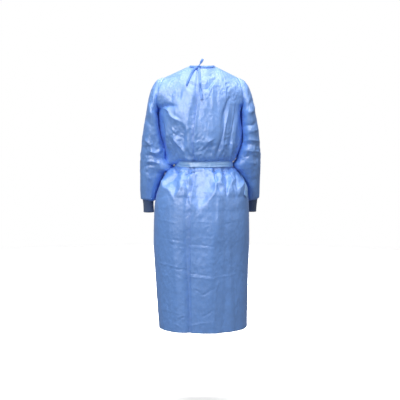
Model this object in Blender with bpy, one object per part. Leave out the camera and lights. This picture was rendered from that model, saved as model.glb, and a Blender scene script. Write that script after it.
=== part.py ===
"""Disposable isolation gown, tied behind the neck and belted, in the hollow form that it has when it is worn.

Metres, +Z up. The origin is the middle of the neck opening, level with the nape, where the gown is held up.
The back of the gown faces -Y and the wearer's right is +X. Every piece of cloth is a thin wall. Its outer
face comes from tables of the gown's sizes, and its inner face lies one wall thickness further in.
"""

import math
from collections import namedtuple

import bmesh
import bpy
import numpy as np

# Driving sizes
WALL = 0.0015
SEAM_GAP = 0.0003
SAME_POINT = 0.00002
LAP_DEPTH = 0.0042
NECK_ACROSS = 0.42
RIGHT = 1
LEFT = -1
BACK = -1
FRONT = 1

# The body below the armpits: level rings from hem to armpit. The widths run out from the middle.
Section = namedtuple("Section", "z left right back front square")
BODY = (
    Section(-1.150, 0.187, 0.205, 0.150, 0.150, 2.30),
    Section(-1.034, 0.195, 0.207, 0.153, 0.150, 2.30),
    Section(-0.902, 0.203, 0.209, 0.158, 0.150, 2.30),
    Section(-0.766, 0.209, 0.213, 0.163, 0.149, 2.30),
    Section(-0.620, 0.205, 0.211, 0.167, 0.147, 2.30),
    Section(-0.563, 0.196, 0.207, 0.162, 0.143, 2.25),
    Section(-0.519, 0.181, 0.196, 0.151, 0.138, 2.20),
    Section(-0.471, 0.159, 0.171, 0.135, 0.127, 2.15),
    Section(-0.448, 0.143, 0.152, 0.122, 0.117, 2.10),
    Section(-0.437, 0.115, 0.138, 0.104, 0.103, 2.10),
    Section(-0.425, 0.110, 0.135, 0.100, 0.100, 2.10),
    Section(-0.413, 0.113, 0.136, 0.103, 0.102, 2.10),
    Section(-0.402, 0.132, 0.145, 0.114, 0.110, 2.15),
    Section(-0.374, 0.149, 0.160, 0.125, 0.118, 2.20),
    Section(-0.330, 0.166, 0.175, 0.132, 0.122, 2.30),
    Section(-0.277, 0.180, 0.180, 0.134, 0.120, 2.40),
    Section(-0.200, 0.186, 0.176, 0.130, 0.113, 2.50),
)
BELT_LOW, BELT_MIDDLE, BELT_HIGH = 9, 10, 11
ARMPIT = len(BODY) - 1

# The body above the armpits: rows from one armhole edge over the neck column to the middle.
Upper = namedtuple("Upper", "left right edge_y edge_z neck_x neck_y neck_z shift middle_y middle_z")
UPPER_BACK = (
    Upper(0.187, 0.180, -0.050, -0.164, 0.108, -0.110, -0.156, 0.000, -0.126, -0.152),
    Upper(0.180, 0.175, -0.058, -0.120, 0.094, -0.101, -0.106, 0.001, -0.115, -0.102),
    Upper(0.168, 0.167, -0.040, -0.074, 0.074, -0.062, -0.036, 0.003, -0.086, -0.044),
    Upper(0.157, 0.158, 0.004, -0.048, 0.050, -0.012, 0.002, 0.005, -0.060, -0.003),
)
UPPER_FRONT = (
    Upper(0.187, 0.180, 0.050, -0.164, 0.108, 0.100, -0.160, 0.000, 0.114, -0.162),
    Upper(0.177, 0.172, 0.058, -0.120, 0.094, 0.088, -0.116, 0.001, 0.104, -0.124),
    Upper(0.166, 0.165, 0.044, -0.074, 0.074, 0.046, -0.044, 0.003, 0.086, -0.084),
    Upper(0.157, 0.158, 0.004, -0.048, 0.050, -0.012, 0.002, 0.005, 0.070, -0.050),
)

# How many cells lie between these stations, hem to shoulder
RowSpan = namedtuple("RowSpan", "first last cells")
ROW_SPANS = (
    RowSpan(0, 3, 4),
    RowSpan(3, 4, 2),
    RowSpan(4, 6, 3),
    RowSpan(6, 8, 3),
    RowSpan(8, BELT_LOW, 1),
    RowSpan(BELT_LOW, BELT_HIGH, 2),
    RowSpan(BELT_HIGH, 12, 1),
    RowSpan(12, ARMPIT, 8),
    RowSpan(ARMPIT, ARMPIT + 4, 9),
)
ARMHOLE_CELLS = 9
SIDE_CELLS = 7
BACK_CELLS = 8
LEFT_BACK_CELLS = 4
LAP_CELLS = 4
FRONT_CELLS = 8

# The right back's free edge, which runs left of the middle: x at each height
LapEdge = namedtuple("LapEdge", "z x")
LAP_EDGE = (
    LapEdge(-1.150, -0.042),
    LapEdge(-0.800, -0.045),
    LapEdge(-0.585, -0.045),
    LapEdge(-0.425, -0.025),
    LapEdge(-0.330, -0.032),
    LapEdge(-0.240, -0.026),
    LapEdge(-0.150, -0.015),
    LapEdge(0.000, -0.009),
)

# Folds as lines seen from behind or from the front. A minus height is a valley.
# start is the share of the height that the fold has at its first end.
Fold = namedtuple("Fold", "x0 z0 x1 z1 width height start")
BACK_FOLDS = (
    # Gathers that fan out below the belt, and the lobes between them
    Fold(-0.106, -0.440, -0.128, -0.540, 0.012, -0.011, 1.0),
    Fold(-0.048, -0.440, -0.070, -0.620, 0.015, -0.017, 1.0),
    Fold(0.053, -0.440, 0.082, -0.600, 0.016, -0.017, 1.0),
    Fold(0.101, -0.440, 0.136, -0.590, 0.013, -0.012, 1.0),
    Fold(-0.145, -0.480, -0.132, -0.590, 0.020, 0.006, 0.0),
    Fold(0.000, -0.460, -0.012, -0.680, 0.030, 0.012, 0.2),
    Fold(0.100, -0.470, 0.108, -0.610, 0.018, 0.007, 0.0),
    # Pulls and slack cloth above the belt
    Fold(-0.186, -0.182, -0.105, -0.168, 0.014, -0.008, 0.8),
    Fold(-0.176, -0.196, -0.085, -0.240, 0.014, 0.008, 0.6),
    Fold(-0.100, -0.225, -0.066, -0.400, 0.026, -0.011, 0.0),
    Fold(-0.135, -0.290, -0.064, -0.398, 0.012, 0.008, 0.0),
    Fold(-0.160, -0.260, -0.132, -0.390, 0.014, -0.007, 0.0),
    Fold(0.128, -0.125, 0.078, -0.400, 0.014, -0.011, 0.0),
    Fold(0.150, -0.140, 0.100, -0.396, 0.012, 0.008, 0.0),
    Fold(0.163, -0.165, 0.119, -0.390, 0.012, -0.011, 0.2),
    Fold(0.060, -0.290, 0.010, -0.390, 0.014, 0.006, 0.0),
    Fold(0.020, -0.330, 0.030, -0.405, 0.014, -0.007, 0.6),
    # Long soft folds down the skirt
    Fold(0.076, -0.570, 0.074, -0.860, 0.026, 0.006, 0.2),
    Fold(-0.110, -0.620, -0.100, -1.000, 0.032, 0.005, 0.0),
    Fold(0.150, -0.640, 0.146, -1.100, 0.030, -0.005, 0.0),
    Fold(-0.062, -0.720, -0.064, -1.140, 0.022, -0.005, 0.0),
)
FRONT_FOLDS = (
    Fold(-0.098, -0.440, -0.120, -0.560, 0.014, -0.010, 1.0),
    Fold(-0.036, -0.440, -0.046, -0.620, 0.017, -0.013, 1.0),
    Fold(0.030, -0.440, 0.050, -0.590, 0.016, -0.012, 1.0),
    Fold(0.096, -0.440, 0.126, -0.570, 0.014, -0.010, 1.0),
    Fold(-0.072, -0.460, -0.090, -0.640, 0.024, 0.008, 0.2),
    Fold(0.004, -0.460, 0.000, -0.660, 0.028, 0.008, 0.2),
    Fold(0.074, -0.460, 0.092, -0.620, 0.022, 0.008, 0.2),
    Fold(-0.148, -0.180, -0.070, -0.400, 0.016, -0.010, 0.0),
    Fold(-0.120, -0.170, -0.040, -0.390, 0.016, 0.007, 0.0),
    Fold(0.150, -0.190, 0.062, -0.400, 0.016, -0.010, 0.0),
    Fold(0.112, -0.180, 0.030, -0.385, 0.016, 0.007, 0.0),
    Fold(-0.002, -0.240, 0.004, -0.405, 0.020, -0.008, 0.0),
    Fold(-0.120, -0.640, -0.110, -1.080, 0.034, 0.006, 0.0),
    Fold(-0.040, -0.700, -0.036, -1.140, 0.030, -0.006, 0.0),
    Fold(0.062, -0.600, 0.060, -0.980, 0.034, 0.006, 0.0),
    Fold(0.140, -0.680, 0.136, -1.120, 0.030, -0.006, 0.0),
)

# The sleeves: rings from just outside the armhole to the wrist. out is the ring's outer point, in its inner.
Ring = namedtuple("Ring", "out_x out_z in_x in_z y half")
SLEEVES = {
    RIGHT: (
        Ring(0.185, -0.061, 0.1820, -0.207, 0.000, 0.076),
        Ring(0.209, -0.092, 0.1840, -0.220, 0.000, 0.084),
        Ring(0.227, -0.147, 0.1850, -0.242, 0.000, 0.087),
        Ring(0.239, -0.205, 0.1850, -0.270, 0.001, 0.085),
        Ring(0.250, -0.263, 0.1850, -0.302, 0.002, 0.080),
        Ring(0.257, -0.320, 0.1785, -0.336, 0.006, 0.074),
        Ring(0.261, -0.375, 0.1640, -0.378, 0.010, 0.068),
        Ring(0.263, -0.422, 0.1520, -0.418, 0.018, 0.063),
        Ring(0.263, -0.470, 0.1755, -0.466, 0.034, 0.056),
        Ring(0.262, -0.520, 0.1960, -0.520, 0.054, 0.048),
        Ring(0.262, -0.560, 0.202, -0.566, 0.068, 0.042),
        Ring(0.261, -0.580, 0.204, -0.590, 0.076, 0.039),
        Ring(0.254, -0.587, 0.209, -0.595, 0.080, 0.031),
    ),
    LEFT: (
        Ring(0.186, -0.057, 0.1915, -0.207, 0.000, 0.076),
        Ring(0.212, -0.090, 0.1930, -0.220, 0.000, 0.084),
        Ring(0.228, -0.138, 0.1915, -0.242, 0.000, 0.087),
        Ring(0.236, -0.192, 0.1880, -0.268, 0.001, 0.085),
        Ring(0.248, -0.246, 0.1820, -0.300, 0.002, 0.080),
        Ring(0.257, -0.306, 0.1700, -0.336, 0.004, 0.074),
        Ring(0.263, -0.361, 0.1545, -0.376, 0.008, 0.068),
        Ring(0.268, -0.415, 0.1480, -0.414, 0.014, 0.063),
        Ring(0.270, -0.465, 0.1680, -0.464, 0.024, 0.058),
        Ring(0.270, -0.520, 0.195, -0.520, 0.032, 0.052),
        Ring(0.269, -0.562, 0.204, -0.565, 0.040, 0.046),
        Ring(0.268, -0.582, 0.207, -0.586, 0.044, 0.043),
        Ring(0.260, -0.588, 0.212, -0.591, 0.046, 0.032),
    ),
}
SLEEVE_CELLS = 21
SLEEVE_FOLDS = {
    RIGHT: (
        Fold(0.236, -0.166, 0.200, -0.216, 0.013, 0.006, 0.0),
        Fold(0.240, -0.228, 0.190, -0.262, 0.012, -0.006, 0.0),
        Fold(0.256, -0.318, 0.188, -0.306, 0.012, 0.006, 0.0),
        Fold(0.262, -0.350, 0.176, -0.368, 0.012, -0.007, 0.0),
        Fold(0.262, -0.392, 0.180, -0.398, 0.012, 0.006, 0.0),
        Fold(0.262, -0.432, 0.186, -0.426, 0.013, -0.006, 0.0),
    ),
    LEFT: (
        Fold(-0.236, -0.160, -0.198, -0.214, 0.013, 0.006, 0.0),
        Fold(-0.252, -0.300, -0.190, -0.402, 0.012, 0.006, 0.0),
        Fold(-0.264, -0.350, -0.176, -0.362, 0.012, -0.006, 0.0),
        Fold(-0.262, -0.394, -0.166, -0.386, 0.012, 0.007, 0.0),
        Fold(-0.268, -0.410, -0.172, -0.412, 0.011, -0.007, 0.0),
        Fold(-0.266, -0.444, -0.176, -0.434, 0.012, 0.006, 0.0),
    ),
}

# The cuffs: rings from the wrist seam down, with ribs raised on the outside
CuffRing = namedtuple("CuffRing", "down x y half_x half_y")
CUFFS = {
    RIGHT: (
        CuffRing(0.000, 0.2315, 0.0800, 0.0222, 0.0305),
        CuffRing(0.020, 0.2300, 0.0880, 0.0220, 0.0285),
        CuffRing(0.055, 0.2270, 0.1020, 0.0225, 0.0275),
    ),
    LEFT: (
        CuffRing(0.000, 0.2360, 0.0460, 0.0237, 0.0315),
        CuffRing(0.020, 0.2350, 0.0500, 0.0228, 0.0295),
        CuffRing(0.055, 0.2335, 0.0570, 0.0232, 0.0285),
    ),
}
CUFF_RIBS = 32
CUFF_RIB_HEIGHT = 0.0007
CUFF_WALL = 0.0018

# Tapes
BINDING_WIDTH = 0.0115
BINDING_WALL = 0.0012
BELT_WALL = 0.0014
TAPE_LIFT = 0.0005
BINDING_LIFT = 0.0012
TAPE_WALL = 0.0012
NECK_TAPE_WIDTH = 0.010
BELT_TAPE_WIDTH = 0.024

# Free ends of the neck tie: x and z as seen from behind, and how far the tape stands off the back
Step = namedtuple("Step", "x z lift")
NECK_TIES = {
    "neck_tie_left": (
        Step(-0.0175, -0.0085, 0.0032),
        Step(-0.0300, -0.0240, 0.0016),
        Step(-0.0420, -0.0430, 0.0012),
        Step(-0.0530, -0.0660, 0.0012),
        Step(-0.0615, -0.0900, 0.0012),
    ),
    "neck_tie_down": (
        Step(-0.0085, -0.0140, 0.0028),
        Step(-0.0065, -0.0400, 0.0012),
        Step(-0.0045, -0.0720, 0.0012),
        Step(-0.0010, -0.1050, 0.0012),
        Step(0.0030, -0.1500, 0.0012),
    ),
}
NECK_KNOT = (-0.0090, -0.0685, -0.0040)
NECK_KNOT_RADII = (0.0075, 0.0045, 0.0060)
# The one loop of the bow stands up behind the neck: out and back along a drop shape
NECK_LOOP_LENGTH = 0.034
NECK_LOOP_SPREAD = 0.0070
NECK_LOOP_LEAN = 0.55
NECK_LOOP_STEPS = 12
NECK_LOOP_START = 0.065

# Free ends of the belt: degrees round from the middle of the back towards the right, and height
Turn = namedtuple("Turn", "degrees z lift")
BELT_ENDS = {
    "belt_end_back": (
        Turn(113.0, -0.4385, 0.0036),
        Turn(110.0, -0.4490, 0.0014),
        Turn(100.0, -0.4640, 0.0012),
        Turn(86.0, -0.4850, 0.0012),
        Turn(71.0, -0.5190, 0.0012),
        Turn(60.0, -0.5630, 0.0012),
    ),
    "belt_end_front": (
        Turn(127.0, -0.4385, 0.0036),
        Turn(128.0, -0.4500, 0.0014),
        Turn(131.0, -0.4800, 0.0012),
        Turn(133.0, -0.5400, 0.0012),
        Turn(134.0, -0.6100, 0.0012),
        Turn(133.0, -0.6800, 0.0012),
    ),
}
BELT_KNOT_DEGREES = 120.0
BELT_KNOT_RADII = (0.0090, 0.0130, 0.0115)
TAPE_STEPS = 13

# Colours, linear
GOWN_BLUE = (0.24, 0.42, 0.78, 1.0)
CUFF_BLUE = (0.06, 0.11, 0.25, 1.0)
TAPE_BLUE = (0.30, 0.48, 0.84, 1.0)


def slopes(knots, values):
    """The slope at each knot of a cubic that never overshoots its values."""
    step = np.diff(knots).reshape((-1,) + (1,) * (values.ndim - 1))
    rise = np.diff(values, axis=0) / step
    found = np.zeros_like(values)
    found[0] = rise[0]
    found[-1] = rise[-1]
    same = rise[:-1] * rise[1:] > 0
    before = np.where(same, rise[:-1], 1.0)
    after = np.where(same, rise[1:], 1.0)
    found[1:-1] = np.where(same, 2.0 * before * after / (before + after), 0.0)
    return found


def smooth(knots, values, at):
    """Values at `at` on a smooth curve through the knots: one curve for all, or one for each column."""
    index = np.clip(np.searchsorted(knots, at, side="right") - 1, 0, len(knots) - 2)
    width = knots[index + 1] - knots[index]
    t = (at - knots[index]) / width
    tilt = slopes(knots, values)
    if values.ndim == 1:
        low, high, tilt_low, tilt_high = values[index], values[index + 1], tilt[index], tilt[index + 1]
    else:
        column = np.arange(values.shape[1])
        low, high = values[index, column], values[index + 1, column]
        tilt_low, tilt_high = tilt[index, column], tilt[index + 1, column]
        t, width = t[:, None], width[:, None]
    square, cube = t * t, t * t * t
    return (
        (2 * cube - 3 * square + 1) * low
        + (cube - 2 * square + t) * width * tilt_low
        + (3 * square - 2 * cube) * high
        + (cube - square) * width * tilt_high
    )


def ease(low, high, value):
    """0 below low, 1 above high, and smooth between."""
    t = np.clip((value - low) / (high - low), 0.0, 1.0)
    return t * t * (3 - 2 * t)


def unit(vectors):
    return vectors / np.maximum(np.linalg.norm(vectors, axis=-1, keepdims=True), 1e-12)


def ring_row(section, face, across):
    """One level ring of the body: across runs from -1, the left side seam, to 1, the right one."""
    angle = across * math.pi / 2
    power = 2 / section.square
    half = np.where(across > 0, section.right, section.left)
    depth = section.front if face == FRONT else section.back
    x = half * np.sign(across) * np.abs(np.sin(angle)) ** power
    y = face * depth * np.clip(np.cos(angle), 0.0, 1.0) ** power
    return np.stack([x, y, np.full_like(across, section.z)], axis=-1)


def upper_row(row, across):
    """One row above the armpits, from armhole edge to armhole edge."""
    marks = np.array([-1.0, -NECK_ACROSS, 0.0, NECK_ACROSS, 1.0])
    x_marks = [-row.left, row.shift - row.neck_x, row.shift, row.shift + row.neck_x, row.right]
    y_marks = [row.edge_y, row.neck_y, row.middle_y, row.neck_y, row.edge_y]
    z_marks = [row.edge_z, row.neck_z, row.middle_z, row.neck_z, row.edge_z]
    columns = [smooth(marks, np.array(values), across) for values in (x_marks, y_marks, z_marks)]
    return np.stack(columns, axis=-1)


def top_row(row, across):
    """The top edge: straight shoulder seams, and the round neckline between them."""
    turn = np.clip(across / NECK_ACROSS, -1.0, 1.0) * math.pi / 2
    bow = 1 - np.cos(turn)
    neck = np.stack(
        [
            row.shift + row.neck_x * np.sin(turn),
            row.middle_y + (row.neck_y - row.middle_y) * bow,
            row.middle_z + (row.neck_z - row.middle_z) * bow,
        ],
        axis=-1,
    )
    share = np.clip((np.abs(across) - NECK_ACROSS) / (1 - NECK_ACROSS), 0.0, 1.0)[..., None]
    tip_x = np.where(across > 0, row.right, -row.left)
    tip = np.stack([tip_x, np.full_like(across, row.edge_y), np.full_like(across, row.edge_z)], axis=-1)
    return neck * (1 - share) + tip * share


def stations(face, across):
    upper = UPPER_FRONT if face == FRONT else UPPER_BACK
    rows = [ring_row(section, face, across) for section in BODY]
    rows += [upper_row(row, across) for row in upper[:-1]]
    rows.append(top_row(upper[-1], across))
    return np.stack(rows)


def station_lengths():
    """The length of cloth from the hem to each station, along the neck column of the back."""
    points = stations(BACK, np.array([NECK_ACROSS]))[:, 0]
    steps = np.linalg.norm(np.diff(points, axis=0), axis=-1)
    return np.concatenate([[0.0], np.cumsum(steps)])


ALONG = station_lengths()


def plain_body(face, across, along):
    return smooth(ALONG, stations(face, across), along)


def facing(face, across, along):
    """The outward direction of the plain body."""
    step = 1e-4
    side = plain_body(face, np.clip(across + step, -1, 1), along)
    side = side - plain_body(face, np.clip(across - step, -1, 1), along)
    up = plain_body(face, across, np.clip(along + step, 0, ALONG[-1]))
    up = up - plain_body(face, across, np.clip(along - step, 0, ALONG[-1]))
    return unit(np.cross(side, up)) * -face


def fold_height(folds, x, z):
    """The sum of the folds at each point. A fold fades to nothing at its far end and out to its sides."""
    total = np.zeros_like(x)
    for fold in folds:
        run_x, run_z = fold.x1 - fold.x0, fold.z1 - fold.z0
        length = math.hypot(run_x, run_z)
        along = ((x - fold.x0) * run_x + (z - fold.z0) * run_z) / length**2
        aside = ((x - fold.x0) * run_z - (z - fold.z0) * run_x) / length
        rise = fold.start * ease(-0.10, 0.0, along) + (1 - fold.start) * ease(0.0, 0.4, along)
        total += fold.height * np.exp(-((aside / fold.width) ** 2)) * rise * (1 - ease(0.5, 1.0, along))
    return total


def body(face, across, along):
    """Points of the gown's body with its folds, which die out at the seams and under the belt."""
    points = plain_body(face, across, along)
    x, z = points[:, 0], points[:, 2]
    height = fold_height(FRONT_FOLDS if face == FRONT else BACK_FOLDS, x, z)
    height *= 1 - ease(0.86, 1.0, np.abs(across))
    height *= 1 - ease(ALONG[ARMPIT + 2], ALONG[ARMPIT + 3], along)
    height *= ease(0.012, 0.026, np.abs(z - BODY[BELT_MIDDLE].z))
    return points + facing(face, across, along) * height[:, None]


def row_lengths():
    rows = [0.0]
    for span in ROW_SPANS:
        rows += list(np.linspace(ALONG[span.first], ALONG[span.last], span.cells + 1)[1:])
    return np.array(rows)


def lap_edge_across(rows):
    """Where across the right back's free edge lies in each row."""
    edge = np.array(LAP_EDGE)
    tries = np.linspace(-0.3, 0.1, 161)
    found = []
    for along in rows:
        points = plain_body(BACK, tries, np.full_like(tries, along))
        wanted = smooth(edge[:, 0], edge[:, 1], np.clip(points[:, 2], edge[0, 0], edge[-1, 0]))
        found.append(np.interp(0.0, points[:, 0] - wanted, tries))
    return np.array(found)


def spread(first, last, cells):
    """Evenly spaced columns between two edges, which may differ from row to row."""
    share = np.linspace(0.0, 1.0, cells + 1)
    return np.asarray(first)[..., None] * (1 - share) + np.asarray(last)[..., None] * share


def grid_points(face, across, rows):
    """The body's points for each row and column: across is (rows, columns)."""
    along = np.repeat(rows, across.shape[1])
    return body(face, across.reshape(-1), along).reshape(across.shape + (3,))


def grid_normals(points, sign, closed=False):
    """Outward directions of a grid of points, from its neighbours along and across."""
    up = np.gradient(points, axis=0)
    if closed:
        side = np.roll(points, -1, axis=1) - np.roll(points, 1, axis=1)
    else:
        side = np.gradient(points, axis=1)
    return unit(np.cross(side, up)) * sign


class Cloth:
    """A grid of outer points with their outward directions. seams names the edges that meet another piece."""

    def __init__(self, name, points, sign, colour, wall=WALL, closed=False, seams=()):
        self.name = name
        self.points = points
        self.normals = grid_normals(points, sign, closed)
        self.own_normals = self.normals.copy()
        self.colour = colour
        self.wall = wall
        self.closed = closed
        self.seams = seams
        self.flip = sign < 0

    def edge(self, side):
        return {
            "low": (0, slice(None)),
            "high": (-1, slice(None)),
            "first": (slice(None), 0),
            "last": (slice(None), -1),
        }[side]

    def next_in(self, side):
        return {
            "low": (1, slice(None)),
            "high": (-2, slice(None)),
            "first": (slice(None), 1),
            "last": (slice(None), -2),
        }[side]

    def seam_points(self):
        """For each seam edge: its points, the way into the piece square to the seam, and the seam's direction."""
        for side in self.seams:
            edge = self.points[self.edge(side)]
            inward = self.points[self.next_in(side)] - edge
            if self.closed:
                along = unit(np.roll(edge, -1, axis=0) - np.roll(edge, 1, axis=0))
            else:
                along = unit(np.gradient(edge, axis=0))
            inward = unit(inward - along * (inward * along).sum(axis=-1, keepdims=True))
            for number in range(len(edge)):
                row, column = self.edge(side)
                place = (number, column) if isinstance(row, slice) else (row, number)
                yield place, edge[number], inward[number], along[number]


SeamEnd = namedtuple("SeamEnd", "piece place inward along normal")


def part_at_seams(pieces):
    """Where pieces meet, they get one wall direction, along the mitre, and half a seam gap each away from it."""
    joins = []
    for piece in pieces:
        for place, point, inward, along in piece.seam_points():
            end = SeamEnd(piece, place, inward, along, piece.normals[place].copy())
            for join_point, ends in joins:
                if np.abs(join_point - point).max() < SAME_POINT:
                    ends.append(end)
                    break
            else:
                joins.append((point, [end]))
    moves = []
    for _, ends in joins:
        if len(ends) < 2:
            continue
        turned_back = min(one.normal @ other.normal for one in ends for other in ends) < -0.2
        outward = sum(end.inward for end in ends) if turned_back else sum(end.normal for end in ends)
        for end in ends:
            others = [other for other in ends if other.piece is not end.piece]
            away = sum(unit(end.inward - other.inward) for other in others)
            if len(ends) == 2:
                outward = outward - away * (outward @ away) / (away @ away)
                outward = outward - end.along * (outward @ end.along)
            moves.append((end.piece, end.place, away * SEAM_GAP / (1 if turned_back else 2)))
            end.piece.normals[end.place] = unit(outward)
    for piece, place, move in moves:
        piece.points[place] = piece.points[place] + move


def front_panel(rows):
    across = np.concatenate(
        [
            spread(-1.0, -NECK_ACROSS, SIDE_CELLS)[:-1],
            spread(-NECK_ACROSS, NECK_ACROSS, FRONT_CELLS)[:-1],
            spread(NECK_ACROSS, 1.0, SIDE_CELLS),
        ]
    )
    across = np.tile(across, (len(rows), 1))
    points = grid_points(FRONT, across, rows)
    return Cloth("front_panel", points, -1, GOWN_BLUE, seams=("first", "last", "high"))


def back_right(rows, lap_edge):
    inner = spread(lap_edge, np.full_like(lap_edge, NECK_ACROSS), BACK_CELLS)
    outer = spread(np.full_like(lap_edge, NECK_ACROSS), np.ones_like(lap_edge), SIDE_CELLS)
    across = np.concatenate([inner[:, :-1], outer], axis=1)
    points = grid_points(BACK, across, rows)
    return Cloth("back_right", points, 1, GOWN_BLUE, seams=("last", "high")), inner


def back_left(rows, lap_edge, right_columns):
    """The left back dips under the right one, and shares its columns where they lap."""
    outer = spread(-np.ones_like(lap_edge), np.full_like(lap_edge, -NECK_ACROSS), SIDE_CELLS)
    inner = spread(np.full_like(lap_edge, -NECK_ACROSS), lap_edge, LEFT_BACK_CELLS)
    lapped = right_columns[:, 1 : LAP_CELLS + 1]
    across = np.concatenate([outer[:, :-1], inner, lapped], axis=1)
    cloth = Cloth("back_left", grid_points(BACK, across, rows), 1, GOWN_BLUE, seams=("first", "high"))
    dip = LAP_DEPTH * ease(-0.10, -0.03, across - lap_edge[:, None])
    cloth.points = cloth.points - cloth.normals * dip[..., None]
    return cloth


def armhole(panels, side):
    """The armhole as one loop of points: shoulder tip, down the back to the armpit and up the front."""
    back = panels["back_right"] if side == RIGHT else panels["back_left"]
    front = panels["front_panel"]
    column = -1 if side == RIGHT else 0
    down = back.points[::-1, column][: ARMHOLE_CELLS + 1]
    up = front.points[-ARMHOLE_CELLS - 1 :, column]
    return np.concatenate([down, up[1:-1]])


def sleeve_ring(ring, side, turn):
    """turn is 0 at the outer point, a quarter at the back and a half at the inner point."""
    middle = np.array([(ring.out_x + ring.in_x) / 2 * side, ring.y, (ring.out_z + ring.in_z) / 2])
    reach = np.array([(ring.out_x - ring.in_x) / 2 * side, 0.0, (ring.out_z - ring.in_z) / 2])
    back = np.array([0.0, -ring.half, 0.0])
    angle = turn * math.tau
    return middle + np.cos(angle)[:, None] * reach + np.sin(angle)[:, None] * back


def sleeve(panels, side):
    turn = np.arange(2 * ARMHOLE_CELLS) / (2 * ARMHOLE_CELLS)
    rings = [armhole(panels, side)] + [sleeve_ring(ring, side, turn) for ring in SLEEVES[side]]
    rings = np.stack(rings)
    steps = np.linalg.norm(np.diff(rings, axis=0), axis=-1).mean(axis=1)
    knots = np.concatenate([[0.0], np.cumsum(steps)])
    rows = np.concatenate([np.linspace(0.0, knots[-3], SLEEVE_CELLS - 1), knots[-2:]])
    points = np.stack([smooth(knots, rings, np.full(len(turn), row)) for row in rows])
    normals = grid_normals(points, side, closed=True)
    height = fold_height(SLEEVE_FOLDS[side], points[..., 0], points[..., 2])
    fade = ease(0.0, 0.04, rows) * (1 - ease(knots[-5], knots[-4], rows))
    points = points + normals * (height * fade[:, None])[..., None]
    name = "sleeve_right" if side == RIGHT else "sleeve_left"
    return Cloth(name, points, side, GOWN_BLUE, closed=True, seams=("low", "high"))


def loft(name, outer, inner, colour, closed, flip, other_diagonals=()):
    """A closed wall between two grids of points of the same size. Its cells are split from their first corner,
    and in the columns named in other_diagonals from their second."""
    mesh = bmesh.new()
    row_count, column_count = outer.shape[:2]
    layers = [[[mesh.verts.new(point) for point in row] for row in layer] for layer in (outer, inner)]

    def cell(layer, row, column, turned):
        after = (column + 1) % column_count
        a, b = layers[layer][row][column], layers[layer][row][after]
        d, c = layers[layer][row + 1][column], layers[layer][row + 1][after]
        halves = ((a, b, d), (b, c, d)) if column in other_diagonals else ((a, b, c), (a, c, d))
        for corners in halves:
            mesh.faces.new(corners[::-1] if turned else corners)

    def rim(first, second, turned):
        """Joins the two layers along one stretch of edge."""
        corners = (layers[0][first[0]][first[1]], layers[1][first[0]][first[1]])
        corners += (layers[1][second[0]][second[1]], layers[0][second[0]][second[1]])
        for face in (corners[:3], (corners[0], corners[2], corners[3])):
            mesh.faces.new(face[::-1] if turned else face)

    columns = range(column_count if closed else column_count - 1)
    for row in range(row_count - 1):
        for column in columns:
            cell(0, row, column, flip)
            cell(1, row, column, not flip)
    for column in columns:
        after = (column + 1) % column_count
        rim((0, column), (0, after), flip)
        rim((row_count - 1, column), (row_count - 1, after), not flip)
    if not closed:
        for row in range(row_count - 1):
            rim((row, 0), (row + 1, 0), not flip)
            rim((row, column_count - 1), (row + 1, column_count - 1), flip)
    return finish(name, mesh, colour)


def finish(name, mesh, colour):
    data = bpy.data.meshes.new(name)
    mesh.to_mesh(data)
    mesh.free()
    data.shade_smooth()
    made = bpy.data.objects.new(name, data)
    made.data.materials.append(cloth_material(name, colour))
    collection.objects.link(made)
    return made


def cloth_material(name, colour):
    material = bpy.data.materials.new(name)
    material.use_nodes = True
    shader = material.node_tree.nodes["Principled BSDF"]
    shader.inputs["Base Color"].default_value = colour
    shader.inputs["Roughness"].default_value = 0.6
    shader.inputs["Metallic"].default_value = 0.0
    return material


def make_cloth(cloth):
    inner = cloth.points - cloth.normals * cloth.wall
    return loft(cloth.name, cloth.points, inner, cloth.colour, cloth.closed, cloth.flip)


def make_cuff(side):
    """A rib-knit tube: the ribs are raised in its outer points over a plain inside."""
    table = CUFFS[side]
    top_z = (SLEEVES[side][-1].out_z + SLEEVES[side][-1].in_z) / 2
    slant = SLEEVES[side][-1].out_z - SLEEVES[side][-1].in_z
    count = 2 * CUFF_RIBS
    angle = np.arange(count) / count * math.tau
    rib = np.where(np.arange(count) % 2 == 0, CUFF_RIB_HEIGHT, 0.0)
    outer, inner = [], []
    for number, ring in enumerate(table):
        level = slant * (1 - number / (len(table) - 1)) / 2
        z = top_z - ring.down - SEAM_GAP * (number == 0) + level * np.cos(angle)
        for layer, extra in ((outer, rib), (inner, np.full(count, -CUFF_WALL))):
            x = side * (ring.x + (ring.half_x + extra) * np.cos(angle))
            y = ring.y - (ring.half_y + extra) * np.sin(angle)
            layer.append(np.stack([x, y, z], axis=-1))
    name = "cuff_right" if side == RIGHT else "cuff_left"
    loft(name, np.stack(outer), np.stack(inner), CUFF_BLUE, True, side < 0)


def neck_steps(panels):
    """Round the neck edge from the right back to the left back: the edge point, the way out over the cloth, and
    the outward direction. At each neck point the tape turns over the shoulder seam in three steps."""
    right, left, front = panels["back_right"], panels["back_left"], panels["front_panel"]
    front_right, front_left = SIDE_CELLS + FRONT_CELLS, SIDE_CELLS
    steps = []

    def down(panel, column):
        top = panel.points[-1, column]
        steps.append((top, unit(panel.points[-2, column] - top), panel.own_normals[-1, column]))

    def over_shoulder(panel, column, next_column):
        top = panel.points[-1, column]
        steps.append((top, unit(panel.points[-1, next_column] - top), panel.normals[-1, column]))

    for column in range(BACK_CELLS + 1):
        down(right, column)
    over_shoulder(right, BACK_CELLS, BACK_CELLS + 1)
    for column in range(front_right, front_left - 1, -1):
        down(front, column)
    over_shoulder(left, SIDE_CELLS, SIDE_CELLS - 1)
    for column in range(SIDE_CELLS, SIDE_CELLS + LEFT_BACK_CELLS):
        down(left, column)
    return [np.array(values) for values in zip(*steps)]


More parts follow.
